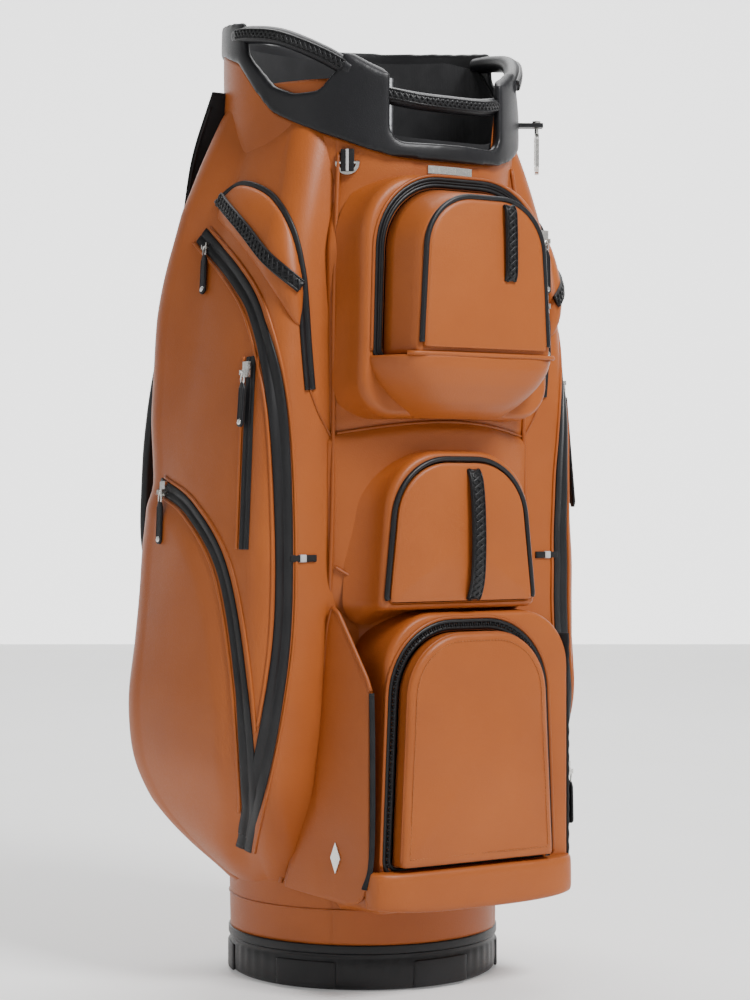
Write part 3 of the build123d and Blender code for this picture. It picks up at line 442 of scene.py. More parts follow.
# ------------------------------------------------------------------ tube
# the collar's lower edge, which the panels reach up to
EDGE_Y = [-260, -175, -140, -117, -53, -4, 40, 150, 260]
EDGE_Z = [747, 747, 754, 767, 799, 850, 864, 871, 871]


def edge_z(y):
    """The height of the collar's lower edge."""
    return np.interp(y, EDGE_Y, EDGE_Z)


def front_skin(angle, z):
    """How far the front panel is padded out from the round core."""
    shape = 5.0 + 12.0 * (np.abs(angle) / 44.0) ** 2
    rise = graded(z, (325, 352)) * (1 - graded(z, (665, 735)))
    arch = 505 + 12 * np.cos(np.radians(angle * 2))
    band = 3.5 * graded(z, (345, 372)) * (1 - graded(z, (arch - 7, arch)))
    seam = -1.6 * np.exp(-(((z - arch) / 4.0) ** 2))
    return shape * rise + band + seam


def tube_panel(name, start, stop, node, skin=None, wall=4.6):
    angles = np.linspace(start, stop, 72)
    rows = np.linspace(0, 1, 190)
    low = BODY_LOW - 0.5
    outer = []
    for t in rows:
        edge_y = tube_y(760) - tube_r(760) * np.cos(np.radians(angles))
        z = low + t * (edge_z(edge_y) + 1 - low)
        extra = skin(angles, z) if skin else np.zeros_like(angles)
        side = np.minimum(angles - start, stop - angles)
        extra = extra - 1.6 * np.exp(-((side / 1.1) ** 2))
        outer.append(on_tube(angles, z, extra))
    outer = np.array(outer)
    normal = unit(outer - np.stack([0 * outer[..., 0], tube_y(outer[..., 2]), outer[..., 2]], axis=-1))
    outer = outer + normal * soft(outer, 46.0, 0.7, start)[..., None]
    inner = on_tube(np.tile(angles, (len(rows), 1)), outer[..., 2], -wall)
    verts, faces = closed_shell(outer, inner)
    return place(name, verts, [f[::-1] for f in faces], TAN, nodes=[node])


tube_panel("front_leather", -46.5, 46.5, "front_panel", front_skin)
tube_panel("left_leather", 44.0, 136.0, "left_side_panel")
tube_panel("right_leather", -136.0, -44.0, "right_side_panel")
tube_panel("spine_leather", 136.0, 224.0, "spine_panel")

angles = np.linspace(0, 360, 97)[:-1]
lining = [on_tube(angles, z + 0 * angles, -5.2) for z in np.linspace(44, 740, 8)]
lining.append(on_tube(angles, edge_z(tube_y(800) - tube_r(800) * np.cos(np.radians(angles))) + 20, -5.2))
place("tube_lining", *ring_loft([*lining, *[r * np.array([0.985, 0.985, 1]) for r in reversed(lining)]]),
      LINING, slot="black_fabric")


def piping(name, points, radius, mat, slot, normals=None, nodes=(), count=120, body="bag", closed=False,
           smooth_line=True):
    line = curve_points(points, count) if smooth_line else np.asarray(points, float)
    if normals is None:
        normals = np.tile([0.0, -1.0, 0.2], (len(line), 1))
    return place(name, *sweep(line, normals, circle(radius, 12), closed), mat, body, slot, nodes)


for sign, side in ((1, "left"), (-1, "right")):
    z = np.array([758, 700, 620, 520, 430, 380, 340, 290, 230, 160, 96.0])
    a = sign * np.array([44, 44, 44, 44, 44, 44.5, 46, 50, 55, 62, 68.5])
    skin = front_skin(np.minimum(np.abs(a), 44), z) * graded(z, (250, 345)) + 1.2
    piping(f"{side}_front_seam", on_tube(a, z, skin), 2.0, TAN_EDGE, "tan_leather")
arch = np.linspace(-43, 43, 30)
arch_z = 505 + 12 * np.cos(np.radians(arch * 2))
piping("arch_seam", on_tube(arch, arch_z, front_skin(arch, arch_z) + 1.6), 1.4, TAN_EDGE, "tan_leather")
dip_z = 352 + 34 * (np.abs(arch) / 43) ** 2.2
piping("band_seam", on_tube(arch, dip_z, front_skin(arch, dip_z) + 1.0), 1.4, TAN_EDGE, "tan_leather")
belt = np.linspace(0, 360, 120, endpoint=False)
piping("belt_seam", on_tube(belt, 74 + 0 * belt, 0.2), 0.9, TAN_EDGE, "tan_leather",
       normals=np.tile([0, 0, 1.0], (120, 1)), closed=True, smooth_line=False)


# ------------------------------------------------------------------ side pockets
def section_values(z):
    """The pocket's plan at each height, with the heights' kinks rounded off."""
    fine = np.arange(40, 860, 4.0)
    kernel = np.exp(-0.5 * (np.arange(-12, 13) * 4.0 / 15.0) ** 2)
    kernel /= kernel.sum()
    out = []
    for k in range(1, 5):
        raw = np.interp(fine, SECTIONS[:, 0], SECTIONS[:, k])
        out.append(np.interp(z, fine, np.convolve(np.pad(raw, 12, mode="edge"), kernel, mode="valid")))
    return out


def plan_outline(ff, rr, fy, ry):
    """One row of the pocket's skin: front face, corner, bellied side, corner, rear face."""
    corners = [np.array(p, float) for p in ((-40, fy), (-ff, fy), (-rr, ry), (-40, ry))]
    pts = []
    radii = {1: (28.0, 14), 2: (44.0, 18)}
    ends = {}
    for k, (r, n) in radii.items():
        before, after = unit(corners[k - 1] - corners[k]), unit(corners[k + 1] - corners[k])
        half = math.acos(np.clip(before @ after, -1, 1)) / 2
        reach = min(r / math.tan(half), 0.45 * np.linalg.norm(corners[2] - corners[1]))
        r = reach * math.tan(half)
        centre = corners[k] + unit(before + after) * r / math.sin(half)
        v0, v1 = corners[k] + before * reach - centre, corners[k] + after * reach - centre
        a0, a1 = math.atan2(v0[1], v0[0]), math.atan2(v1[1], v1[0])
        while a1 > a0:
            a1 -= TAU
        ends[k] = np.array([centre + r * np.array([math.cos(t), math.sin(t)])
                            for t in np.linspace(a0, a1, n)])
    def run(a, b, n):
        return a + (b - a) * np.linspace(0, 1, n, endpoint=False)[:, None]
    side = run(ends[1][-1], ends[2][0], 44)
    out = np.array([-1.0, -0.05])
    side = side + out * (5.0 * np.sin(np.pi * np.linspace(0, 1, 44)))[:, None]
    return np.vstack([run(corners[0], ends[1][0], 26), ends[1][:-1], side, ends[2],
                      run(ends[2][-1], corners[3], 22)[1:]])


def side_skin():
    """The side pocket's skin as a grid, fuller near its upper rear corner."""
    zs = np.linspace(70, 826, 190)
    rows = []
    for z in zs:
        ff, rr, fy, ry = section_values(z)
        plan = plan_outline(ff, rr, fy, ry)
        swell = np.interp(z, [470, 541, 617, 715, 806, 840], [0, 6, 14, 22, 20, 8])
        order = np.arange(len(plan))
        near = graded(order, (66, 88)) * (1 - graded(order, (98, 116)))
        plan = plan + swell * near[:, None] * np.array([-0.96, 0.28])
        rows.append(np.column_stack([plan, np.full(len(plan), z)]))
    return np.array(rows)


def grid_normals(grid):
    """Unit normals of a grid of points."""
    du = np.gradient(grid, axis=1)
    dv = np.gradient(grid, axis=0)
    return unit(np.cross(dv, du))


grid = side_skin()
normals = grid_normals(grid)
flat = grid.reshape(-1, 3)
n_flat = normals.reshape(-1, 3)
if (n_flat @ np.array([-1.0, 0, 0])).mean() < 0:
    n_flat = -n_flat
uz = np.stack([flat @ RIGHT, flat[:, 2]], axis=1)
facing = np.clip(-(n_flat @ AHEAD) * 4, 0, 1)
main_line = np.array(curve_points(MAIN_ZIP, 80))
lower_line = np.array(curve_points(LOWER_ZIP, 60))
small_line = np.array(SMALL_ZIP, float)
move = soft(flat, 60.0, 1.4) + soft(flat, 27.0, 0.5, 3.0)
main_d = line_distance(uz, main_line)
lower_d = line_distance(uz, lower_line)
small_d = line_distance(uz, small_line)
move += facing * (-2.2 * np.exp(-((main_d / 10) ** 2)) - 2.0 * np.exp(-((lower_d / 9) ** 2))
                  - 1.2 * np.exp(-((small_d / 9) ** 2)))
below_lower = uz[:, 1] < np.interp(uz[:, 0], lower_line[::-1, 0][np.argsort(lower_line[::-1, 0])],
                                   lower_line[::-1, 1][np.argsort(lower_line[::-1, 0])])
belly = facing * below_lower * graded(-uz[:, 0], (102, 122)) * graded(lower_d, (4, 26)) * 5.0
pillow = facing * graded(main_d, (6, 40)) * 2.0 * graded(-uz[:, 0], (80, 112))
sag = 1.6 * facing * np.sin(uz[:, 1] / 19.0 + uz[:, 0] / 31.0) * np.exp(-((uz[:, 1] - 150) / 60) ** 2)
flat = flat + n_flat * (move + belly + pillow + sag)[:, None]
grid = flat.reshape(grid.shape)
skin_faces = grid_faces(*grid.shape[:2])
probe = BVHTree.FromPolygons([tuple(v) for v in flat], skin_faces)
rows, cols = grid.shape[:2]


def outside_tube(points, depth=3.0):
    """Points that would lie inside the tube are moved out into its wall."""
    p = points.copy()
    centre = tube_y(p[:, 2])
    away = np.stack([p[:, 0], p[:, 1] - centre], axis=1)
    dist = np.linalg.norm(away, axis=1)
    least = tube_r(p[:, 2]) - depth
    scale = np.maximum(least / np.maximum(dist, 1e-6), 1.0)
    p[:, 0] = away[:, 0] * scale
    p[:, 1] = centre + away[:, 1] * scale
    return p


shell = []
for row in grid:
    row = outside_tube(row)
    z = row[0, 2]
    a0, a1 = (math.degrees(math.atan2(-p[0], -(p[1] - tube_y(z)))) for p in (row[-1], row[0]))
    arc = on_tube(np.linspace(a0, a1, 30)[1:-1], z, -3.0)
    shell.append(np.vstack([row, arc]))
n = len(shell[0])
flat, skin_all = ring_loft(shell)
skin_all += [[(rows - 1) * n + i for i in range(n)], list(range(n))[::-1]]
place("left_pocket_leather", flat, skin_all, TAN, nodes=["left_side_pocket"])
place("right_pocket_leather", *flipped(flat, skin_all), TAN, nodes=["right_side_pocket"])


def skin_at(u, z, lift=0.0):
    """A point on the left pocket's leather seen at (u, z) by the camera's direction, and its normal."""
    start = Vector(u * RIGHT + np.array([0, 0, z]) - 500 * AHEAD)
    hit, normal, _, _ = probe.ray_cast(start, Vector(AHEAD))
    if hit is None:
        hit, normal, _, _ = probe.find_nearest(start + 320 * Vector(AHEAD))
    hit, normal = np.array(hit), np.array(normal)
    if normal @ AHEAD > 0:
        normal = -normal
    return hit + normal * lift, normal


def skin_line(points, count, lift=0.0, passes=2):
    """A smoothed line laid on the pocket's leather, with its normals."""
    uzs = curve_points(points, count)
    found = [skin_at(u, z, lift) for u, z in uzs]
    normals = np.array([f[1] for f in found])
    for _ in range(4):
        normals[1:-1] = unit(normals[:-2] + 2 * normals[1:-1] + normals[2:])
    line = np.array([f[0] for f in found])
    for _ in range(passes):
        line[1:-1] = (line[:-2] + 2 * line[1:-1] + line[2:]) / 4
    return line, normals


def both_sides(name, verts, faces, mat, slot, nodes=()):
    """Places a piece on the left pocket and its mirror image on the right."""
    v2, f2 = flipped(verts, faces)
    place(f"left_{name}", verts, faces, mat, slot=slot, nodes=nodes)
    place(f"right_{name}", v2, f2, mat, slot=slot)


def offset_uz(points, distance, count=60):
    """A line beside another, in the camera's view."""
    line = curve_points(points, count)
    t = tangents(line)
    return line + np.stack([-t[:, 1], t[:, 0]], axis=1) * distance


zips = {"main_zip": (MAIN_ZIP, 1.25), "lower_zip": (LOWER_ZIP, 1.1), "small_zip": (SMALL_ZIP, 0.85)}
first = True
for name, (points, size) in zips.items():
    line, normals = skin_line(points, 130)
    verts, faces = sweep(line, normals, ZIP_PROFILE * np.array([size, 1.0]))
    both_sides(name, verts, faces, RUBBER, "black_rubber", ["side_zip_tapes"] if first else [])
    first = False
    welts = []
    other = lower_line if name == "main_zip" else main_line
    for sign in (-1, 1):
        path = offset_uz(points, sign * 8.3 * size)
        near = line_distance(path, other) < 11.0
        if near.any():
            path = path[:max(int(np.argmax(near)), 4)]
        line, normals = skin_line(path, 110, 0.4)
        welts.append(sweep(line, normals, circle(1.5, 10)))
    both_sides(f"{name}_welts", *merge(welts), TAN, "tan_leather")

line, normals = skin_line(UPPER_ARC, 120, 0.2)
both_sides("upper_arc_zip", *sweep(line, normals, ZIP_PROFILE * np.array([0.8, 1.25])), RUBBER,
           "black_rubber")
seam = [(-46, 544), (-38, 523), (-25.5, 499)]
line, normals = skin_line(seam, 40, 0.3)
both_sides("gusset_seam", *sweep(line, normals, circle(1.1, 8)), TAN_EDGE, "tan_leather")

arc = curve_points(UPPER_ARC[:7], 60)
low_edge = curve_points([(-133, 706), (-112, 682), (-92, 655), (-75, 628), (-62, 607), (-54, 600)], 60)
pad_rows = []
for t in np.linspace(0, 1, 16):
    row = []
    for k in range(60):
        edge_fade = min(1.0, k / 8, (59 - k) / 8)
        u, z = arc[k] * (1 - t) + low_edge[k] * t
        point, normal = skin_at(u, z)
        row.append(point + normal * (0.4 + 7.5 * math.sin(math.pi * (0.06
                                                                     + 0.9 * t)) ** 0.7 * edge_fade ** 0.6))
    pad_rows.append(row)
pad = np.array(pad_rows)
under = np.array([[skin_at(*(arc[k] * (1 - t) + low_edge[k] * t), -2.0)[0] for k in range(60)]
                  for t in np.linspace(0, 1, 16)])
pad_verts, pad_faces = closed_shell(pad, under)
upper_left = place("left_upper_pad", pad_verts, pad_faces, TAN, nodes=["left_upper_pocket"])
upper_right = place("right_upper_pad", *flipped(pad_verts, pad_faces), TAN, nodes=["right_upper_pocket"])


# ------------------------------------------------------------------ braid
def braid_strip(line, normals, width, height, pitch=6.0):
    """A flat strap with a laced cross pattern down its face and a rib along each edge."""
    t = tangents(line)
    up = unit(normals - t * np.sum(normals * t, axis=1, keepdims=True))
    side = np.cross(t, up)
    parts = [sweep(line, normals, rounded(width, height, min(height / 2.2, 1.3), 3))]
    for sign in (-1, 1):
        rail = line + side * sign * (width / 2 - 1.3) + up * (height / 2)
        parts.append(sweep(rail, normals, circle(0.8, 8)))
    s = np.concatenate([[0], np.cumsum(np.linalg.norm(np.diff(line, axis=0), axis=1))])
    count = max(int(s[-1] / pitch), 1)
    reach = width / 2 - 2.2
    for k in range(count):
        for sign in (-1, 1):
            pts, ups = [], []
            for q in np.linspace(0, 1, 7):
                at = (k + q * 1.15) * s[-1] / (count + 0.15)
                base = np.array([np.interp(at, s, line[:, j]) for j in range(3)])
                sd = unit(np.array([np.interp(at, s, side[:, j]) for j in range(3)]))
                u = unit(np.array([np.interp(at, s, up[:, j]) for j in range(3)]))
                bow = 0.5 + 0.55 * math.sin(math.pi * q) + (0.25 if sign > 0 else 0.0)
                pts.append(base + sd * sign * reach * (2 * q - 1) + u * (height / 2 + bow - 0.45))
                ups.append(u)
            parts.append(sweep(np.array(pts), np.array(ups), rounded(2.1, 1.0, 0.45, 2)))
    return merge(parts)


line, normals = skin_line([(-126, 722), (-100, 688), (-76, 655), (-56, 634)], 60, 8.6, 26)
both_sides("upper_braid", *braid_strip(line, normals, 12.5, 3.0), BRAID, "black_leather",
           ["side_pocket_braids"])

# webbing tabs across the front seams
for sign, side in ((1, "left"), (-1, "right")):
    line = np.array([skin_at(u, 394, 0.8)[0] for u in np.linspace(-64, -41, 14)])
    nrm = np.array([skin_at(u, 394)[1] for u in np.linspace(-64, -41, 14)])
    base = sweep(line, nrm, rounded(6.2, 2.4, 1.0, 3))
    stripe = sweep(line[5:9], nrm[5:9], rounded(6.8, 3.0, 1.0, 3))
    if sign < 0:
        base, stripe = flipped(*base), flipped(*stripe)
    place(f"{side}_tab", *base, FABRIC, slot="black_fabric", nodes=["webbing_tabs"] if sign > 0 else [])
    place(f"{side}_tab_stripe", *stripe, STRIPE, slot="black_fabric")


# ------------------------------------------------------------------ arched pockets
def arch_grid(stations, count=150):
    """Rings of an arch: each station is (shape, corner, grow, y)."""
    return [arch_loop(s, c, count, g, y) for s, c, g, y in stations]


def pocket_case(name, shape, corner, back, plane, opening, open_corner, floor_y, mat, slot, node, foot=8.0,
                edge=4.6, flare=0.0, rim_grow=10.8):
    """A pocket's outer skin, its rounded front edge, and the lined hollow behind its opening."""
    steps = [(flare * (1 - q) ** 2, back + (plane + edge * 2.0 - back) * q) for q in np.linspace(0, 1, 7)]
    steps += [(-edge * (1 - math.cos(q)), plane + edge * 1.5 * (1 - math.sin(q)))
              for q in np.linspace(0.1, math.pi / 2, 7)]
    outer = [arch_loop(shape, corner, 150, grow, y, foot) for grow, y in steps]
    rim = arch_loop(opening, open_corner, 150, rim_grow, plane)
    lip = arch_loop(opening, open_corner, 150, 0.4, plane + 0.1)
    outer += [outer[-1] * 0.5 + rim * 0.5 + np.array([0, -0.5, 0]), rim, lip]
    verts, faces = ring_loft(outer)
    move = soft(verts, 52.0, 0.8, shape[0])
    verts[:, 0] += move * graded(verts[:, 1], (plane + 2, plane + 14)) * np.sign(verts[:, 0])
    place(name, verts, faces, mat, slot=slot, nodes=[node])
    inside = arch_grid([(opening, open_corner, 0.4, plane + 0.1), (opening, open_corner, -1.0, plane + 6),
                        (opening, open_corner, -3.0, floor_y)])
    place(f"{name}_lining", *ring_loft(inside, close_end=True), LINING, slot="black_fabric")


def crowned(name, front, back, crown, body, mat, slot, nodes, edge=5.0, puff=1.0, count=150):
    """A padded flap: rounded edge, softly crowned face."""
    shape_b, corner_b, grow_b, y_b = back
    shape_f, corner_f, grow_f, y_f = front
    mid = (y_b + y_f) / 2
    rings = arch_grid([(shape_b, corner_b, grow_b - 3, y_b + 0.3), (shape_b, corner_b, grow_b, y_b)], count)
    a, b = arch_loop(shape_b, corner_b, count, grow_b, y_b), arch_loop(shape_f, corner_f, count, grow_f, y_f)
    for t in (0.25, 0.5, 0.75):
        rings.append(a * (1 - t) + b * t)
    steps = ((0.0, edge * 0.42), (-edge * 0.2, edge * 0.18), (-edge * 0.55, edge * 0.04), (-edge, 0.0))
    for grow, lag in steps:
        rings.append(arch_loop(shape_f, corner_f, count, grow_f + grow, y_f + lag))
    centre = rings[-1].mean(axis=0)
    last = rings[-1]
    for t in (0.12, 0.25, 0.4, 0.55, 0.7, 0.84, 0.95):
        ring = last * (1 - t) + centre * t
        ring[:, 1] = y_f - crown * (1 - (1 - t) ** 2)
        rings.append(ring)
    foot = shape_b[4] - grow_b
    for ring in rings:
        up = np.clip(ring[:, 2] - foot, 0, 10)
        ring[:, 2] = np.where(ring[:, 2] - foot < 10, foot + up**3 / 100, ring[:, 2])
    verts, faces = ring_loft(rings, close_start=True, close_end=True)
    verts[-1, 1] = y_f - crown
    verts[-2, 1] = y_b + 0.3
    lift = soft(verts, 44.0, 0.9 * puff, crown) + soft(verts, 19.0, 0.3 * puff, 2.0)
    verts[:, 1] += lift * graded(-verts[:, 1], (-(y_f + 6), -(y_f - 1)))
    return place(name, verts, faces, mat, body, slot, nodes)


def zip_ring(name, shape, corner, grow_in, grow_out, y, nodes, keep=None, body="bag", toothed=True):
    """The two tapes of a zip round an arch with a row of teeth between them."""
    parts = []
    middle = (grow_in + grow_out) / 2
    for g0, g1 in ((grow_in, middle - 0.9), (middle + 0.9, grow_out)):
        rings = arch_grid([(shape, corner, g0, y + 0.8), (shape, corner, g0 + 0.3, y - 1.3),
                           (shape, corner, (g0 + g1) / 2, y - 1.7),
                           (shape, corner, g1 - 0.3, y - 1.3), (shape, corner, g1, y + 0.8)], 200)
        rings.append(rings[0])
        parts.append(ring_loft(rings))
    place(name, *merge(parts), RUBBER, body, "black_rubber", nodes)
    if not toothed:
        arch_piping(f"{name}_coil", shape, corner, middle, y - 1.0, 1.1, RUBBER, "black_rubber", body=body,
                    low=keep)
        return
    line = resample(arch_loop(shape, corner, 400, middle, y - 1.4),
                    2 * int(np.linalg.norm(np.diff(arch_loop(shape, corner, 400, middle, y), axis=0),
                                           axis=1).sum() / 5.0), closed=True)
    t = tangents(line, closed=True)
    teeth = []
    for k, (p, d) in enumerate(zip(line, t)):
        if keep is not None and p[2] < keep:
            continue
        up = np.array([0, -1.0, 0])
        side = np.cross(d, up) * (1 if k % 2 else -1)
        ring = []
        for across, along, h in ((-0.9, -0.95, -0.6), (2.0, -0.7, -0.6), (2.0, 0.7, -0.6), (-0.9, 0.95, -0.6),
                                 (-0.7, -0.75, 1.0), (1.7, -0.55, 0.8), (1.7, 0.55, 0.8), (-0.7, 0.75, 1.0)):
            ring.append(p + side * across + d * along + up * h)
        teeth.append((np.array(ring), [[0, 3, 2, 1], [4, 5, 6, 7], [0, 1, 5, 4], [1, 2, 6, 5], [2, 3, 7, 6],
                                       [3, 0, 4, 7]]))
    place(f"{name}_teeth", *merge(teeth), PLASTIC, body, "black_plastic", smooth=False)


def arch_piping(name, shape, corner, grow, y, radius, mat, slot, nodes=(), body="bag", low=None):
    line = resample(arch_loop(shape, corner, 300, grow, y), 220, closed=True)
    if low is not None:
        line = line[line[:, 2] > low]
        first = np.argmax(np.linalg.norm(line - np.roll(line, 1, axis=0), axis=1))
        line = np.roll(line, -first, axis=0)
    return place(name, *sweep(line, np.tile([0, -1.0, 0], (len(line), 1)), circle(radius, 10),
                              closed=low is None), mat, body, slot, nodes)


def stitches(name, line, normals, pitch=3.4, length=2.2, body="bag"):
    line = np.asarray(line, float)
    s = np.concatenate([[0], np.cumsum(np.linalg.norm(np.diff(line, axis=0), axis=1))])
    t = tangents(line)
    parts = []
    for at in np.arange(pitch, s[-1] - pitch, pitch):
        p = np.array([np.interp(at, s, line[:, j]) for j in range(3)])
        d = unit(np.array([np.interp(at, s, t[:, j]) for j in range(3)]))
        u = unit(np.array([np.interp(at, s, normals[:, j]) for j in range(3)]))
        pts = np.array([p - d * length / 2 - u * 0.15, p - d * length * 0.25 + u * 0.22,
                        p + d * length * 0.25 + u * 0.22, p + d * length / 2 - u * 0.15])
        parts.append(sweep(pts, np.tile(u, (4, 1)), circle(0.34, 6)))
    return place(name, *merge(parts), THREAD, body)


# ball pocket
pocket_case("ball_pocket", BALL_CASE, 52.0, -100.0, BALL_PLANE, BALL, 58.0, -138.0, TAN, "tan_leather",
            "ball_pocket_body", flare=4.0)
door = crowned("ball_door", (BALL, 58.0, -1.2, BALL_FRONT), (BALL, 58.0, -0.6, BALL_PLANE - 0.8), 3.5,
               "ball_door", TAN,
               "tan_leather", ["ball_pocket_door"], edge=7.0)
zip_ring("ball_zip", BALL, 58.0, 1.0, 10.8, BALL_PLANE - 0.4, ["ball_pocket_zip_tape"], keep=122.0)
arch_piping("ball_zip_piping", BALL, 58.0, 12.4, BALL_PLANE - 0.6, 1.7, TAN_EDGE, "tan_leather", low=119.0)
arch_piping("ball_door_piping", BALL, 58.0, -1.6, BALL_FRONT + 4.5, 1.4, TAN_EDGE, "tan_leather",
            body="ball_door")
stitch_line = resample(arch_loop(BALL, 58.0, 300, -8.0, BALL_FRONT - 0.6), 400, closed=True)
stitches("ball_door_stitch", stitch_line, np.tile([0, -1.0, 0], (400, 1)), body="ball_door")

LIP_TOP, LIP_BACK, LIP_SQUARENESS = 117.6, -158.0, 0.36
lip = []
for x in np.linspace(-99, 122, 90):
    e = abs((x - 11.5) / 110.5)
    front_y = -164.5 - 19.5 * max(0.0, 1 - e ** 7) ** 0.5
    low_z = 79.5 + 6.0 * e ** 3
    ring = []
    for q in np.linspace(0, TAU, 36, endpoint=False):
        cy, cz = math.cos(q), math.sin(q)
        sy, sz = math.copysign(abs(cy) ** LIP_SQUARENESS, cy), math.copysign(abs(cz) ** LIP_SQUARENESS, cz)
        y = (front_y + LIP_BACK) / 2 + (front_y - LIP_BACK) / 2 * sy
        ring.append((x, y, (low_z + LIP_TOP) / 2 + (LIP_TOP - low_z) / 2 * sz))
    lip.append(np.array(ring) + np.array([0, 1.0, 0]) * soft(np.array(ring), 33.0, 0.5)[:, None])
lip_verts, lip_faces = ring_loft(lip, True, True)
lip_obj = place("ball_lip", lip_verts, lip_faces, TAN, nodes=["ball_pocket_lip"])

gusset = []
for k, z in enumerate(np.linspace(84, 322, 120)):
    wave = 0.35 * math.sin(k * 1.05)
    ring = [(122 - 0.4, -163.5), (124 + wave, -163.2), (124.3 + wave, -150), (124.2 + wave, -130),
            (124 + wave, -116.5), (121.6, -116)]
    gusset.append(np.array([(x, y, z) for x, y in ring]))
place("ball_side_gusset_cloth", *ring_loft(gusset, True, True), FABRIC, slot="black_fabric",
      nodes=["ball_pocket_side_gusset"])
for y, tag in ((-157.0, "front"), (-141.0, "side")):
    line = np.array([[124.2, y, z] for z in np.linspace(88, 318, 60)])
    place(f"ball_{tag}_gusset_zip", *sweep(line, np.tile([1.0, 0, 0], (60, 1)),
                                           ZIP_PROFILE * np.array([0.62, 0.75])), RUBBER, slot="black_rubber")

# slip pocket on the ball pocket's left
ys = np.linspace(-164.0, -62.0, 70)
low_z = np.interp(ys, [-164.5, -163, -160, -155, -148, -138, -62], [128, 113, 103, 94, 88.5, 86, 94])
top_z = np.interp(ys, [-164.5, -160, -140, -126, -119, -114, -108, -100, -62],
                  [276, 288, 322, 345, 350, 334, 284, 205, 99])
xs = np.interp(ys, [-164.5, -119, -58], [-98, -109, -124])
plan_t = unit(np.stack([np.gradient(xs), np.gradient(ys)], axis=1))
plan_n = np.stack([-plan_t[:, 1], plan_t[:, 0]], axis=1)
plan_n *= np.sign(-plan_n[:, :1])
outer, inner = [], []
for t in np.linspace(0, 1, 60):
    z = low_z + (top_z - low_z) * t
    bulge = 3.4 * np.sin(np.pi * np.clip(t, 0.02, 0.98)) ** 0.6 * np.sin(np.pi * np.linspace(0.04, 0.96,
                                                                                             70)) ** 0.5
    bulge = bulge * (1 - np.exp(-(((ys + 124.6) ** 2 + (z - 127) ** 2) / 26.0 ** 2)))
    p = np.stack([xs + plan_n[:, 0] * bulge, ys + plan_n[:, 1] * bulge, z], axis=1)
    outer.append(p + np.stack([plan_n[:, 0], plan_n[:, 1], 0 * xs],
                              axis=1) * (soft(p, 40.0, 0.5) * np.clip(bulge, 0, 1))[:, None])
    inner.append(np.stack([xs - plan_n[:, 0] * 3.9, ys - plan_n[:, 1] * 3.9, z], axis=1))
outer, inner = np.array(outer), np.array(inner)
place("slip_pocket_leather", *closed_shell(outer, inner), TAN, nodes=["slip_pocket"])
edge = outer[-1]
edge_n = np.stack([plan_n[:, 0], plan_n[:, 1], 0 * xs], axis=1)
place("slip_pocket_binding", *sweep(edge - edge_n * 1.5, edge_n, circle(2.2, 10)), TAN_EDGE)

# painted shade: a black fabric strip just inside the slip pocket's front edge, for the dark gap between the
# slip pocket and the ball pocket, drawn as the black lining that shows there
shade_strip_line = curve_points([(-97.2, -166.2, 276), (-96.8, -167.0, 230), (-96.8, -167.0, 160), (-98.0, -165.6, 122),
                      (-101.5, -160.5, 103)], 60)
place("slip_pocket_shade_strip", *sweep(shade_strip_line, np.tile([-0.3, -1.0, 0.0], (60, 1)), rounded(5.0, 2.4, 1.0, 3)),
      FABRIC, slot="black_fabric")

# rangefinder pocket
pocket_case("finder_pocket", FINDER_CASE, 58.0, -120.0, FINDER_PLANE, FINDER, 54.0, -150.0, TAN,
            "tan_leather", "rangefinder_pocket_body", edge=5.0, flare=14.0, rim_grow=2.0)
finder = crowned("finder_door", (FINDER, 54.0, -1.0, FINDER_FRONT), (FINDER, 54.0, -0.4, FINDER_PLANE - 0.6),
                 5.0, "finder_door", TAN,
                 "tan_leather", ["rangefinder_door"], edge=3.5)
arch_piping("finder_piping", FINDER, 54.0, 3.0, FINDER_PLANE - 1.8, 2.5, BLACK, "black_leather",
            ["rangefinder_piping"], low=356.0)
pts = [(10, -168.9, 473), (10, -173.5, 466), (10, -176.6, 450), (10, -178.4, 425), (10, -178.6, 400),
       (10, -176.8, 376), (10, -172.6, 362), (10, -169.2, 357)]
line = curve_points(pts, 60)
place("finder_braid", *braid_strip(line, np.tile([0, -1.0, 0], (60, 1)), 15.0, 2.8), BRAID, "finder_door",
      "black_leather", ["rangefinder_braid"])

# top pocket
pocket_case("top_pocket", TOP_CASE, 60.0, -118.0, TOP_PLANE, TOP_LID, 58.0, -151.5, TAN, "tan_leather",
            "top_pocket_body", foot=34.0, edge=7.0, flare=5.0)
bowl = []
for t in np.linspace(0, 1, 22):
    z = 519 + (573.2 - 519) * t
    half_l, half_r = 44 + 52 * math.sin(t * math.pi / 2) ** 0.8, 44 + 48 * math.sin(t * math.pi / 2) ** 0.8
    depth = np.interp(z, [519, 524, 532, 548, 562, 574], [-168, -180, -189, -198, -202.5, -203.8])
    front = []
    for q in np.linspace(0, 1, 60):
        x = -half_l + (half_l + half_r) * q
        e = 2 * q - 1
        y = depth + (-157 - depth) * abs(e) ** (4 + 6 * t) - 1.8 * (1 - e * e)
        front.append((x, y, z))
    back = [(half_r, -150, z), (0, -146, z), (-half_l, -150, z)]
    bowl.append(np.array(front + back))
bowl = [b + np.array([0, 1.0, 0]) * soft(b, 36.0, 0.7)[:, None] for b in bowl]
place("top_pocket_bowl", *ring_loft(bowl, True, True), TAN)
lid = crowned("top_lid_shell", (TOP_NOSE, 50.0, 0.0, TOP_FRONT), (TOP_LID, 58.0, -0.4, TOP_PLANE - 1.0), 1.0,
              "top_lid", TAN,
              "tan_leather", ["top_pocket_lid"], edge=6.0)
pouch = crowned("top_pouch", (POUCH, 46.0, -0.6, -207.0), (POUCH, 46.0, 0.0, TOP_FRONT - 0.6), 2.2, "top_lid",
                TAN,
                "tan_leather", ["top_pouch_panel"], edge=4.0)
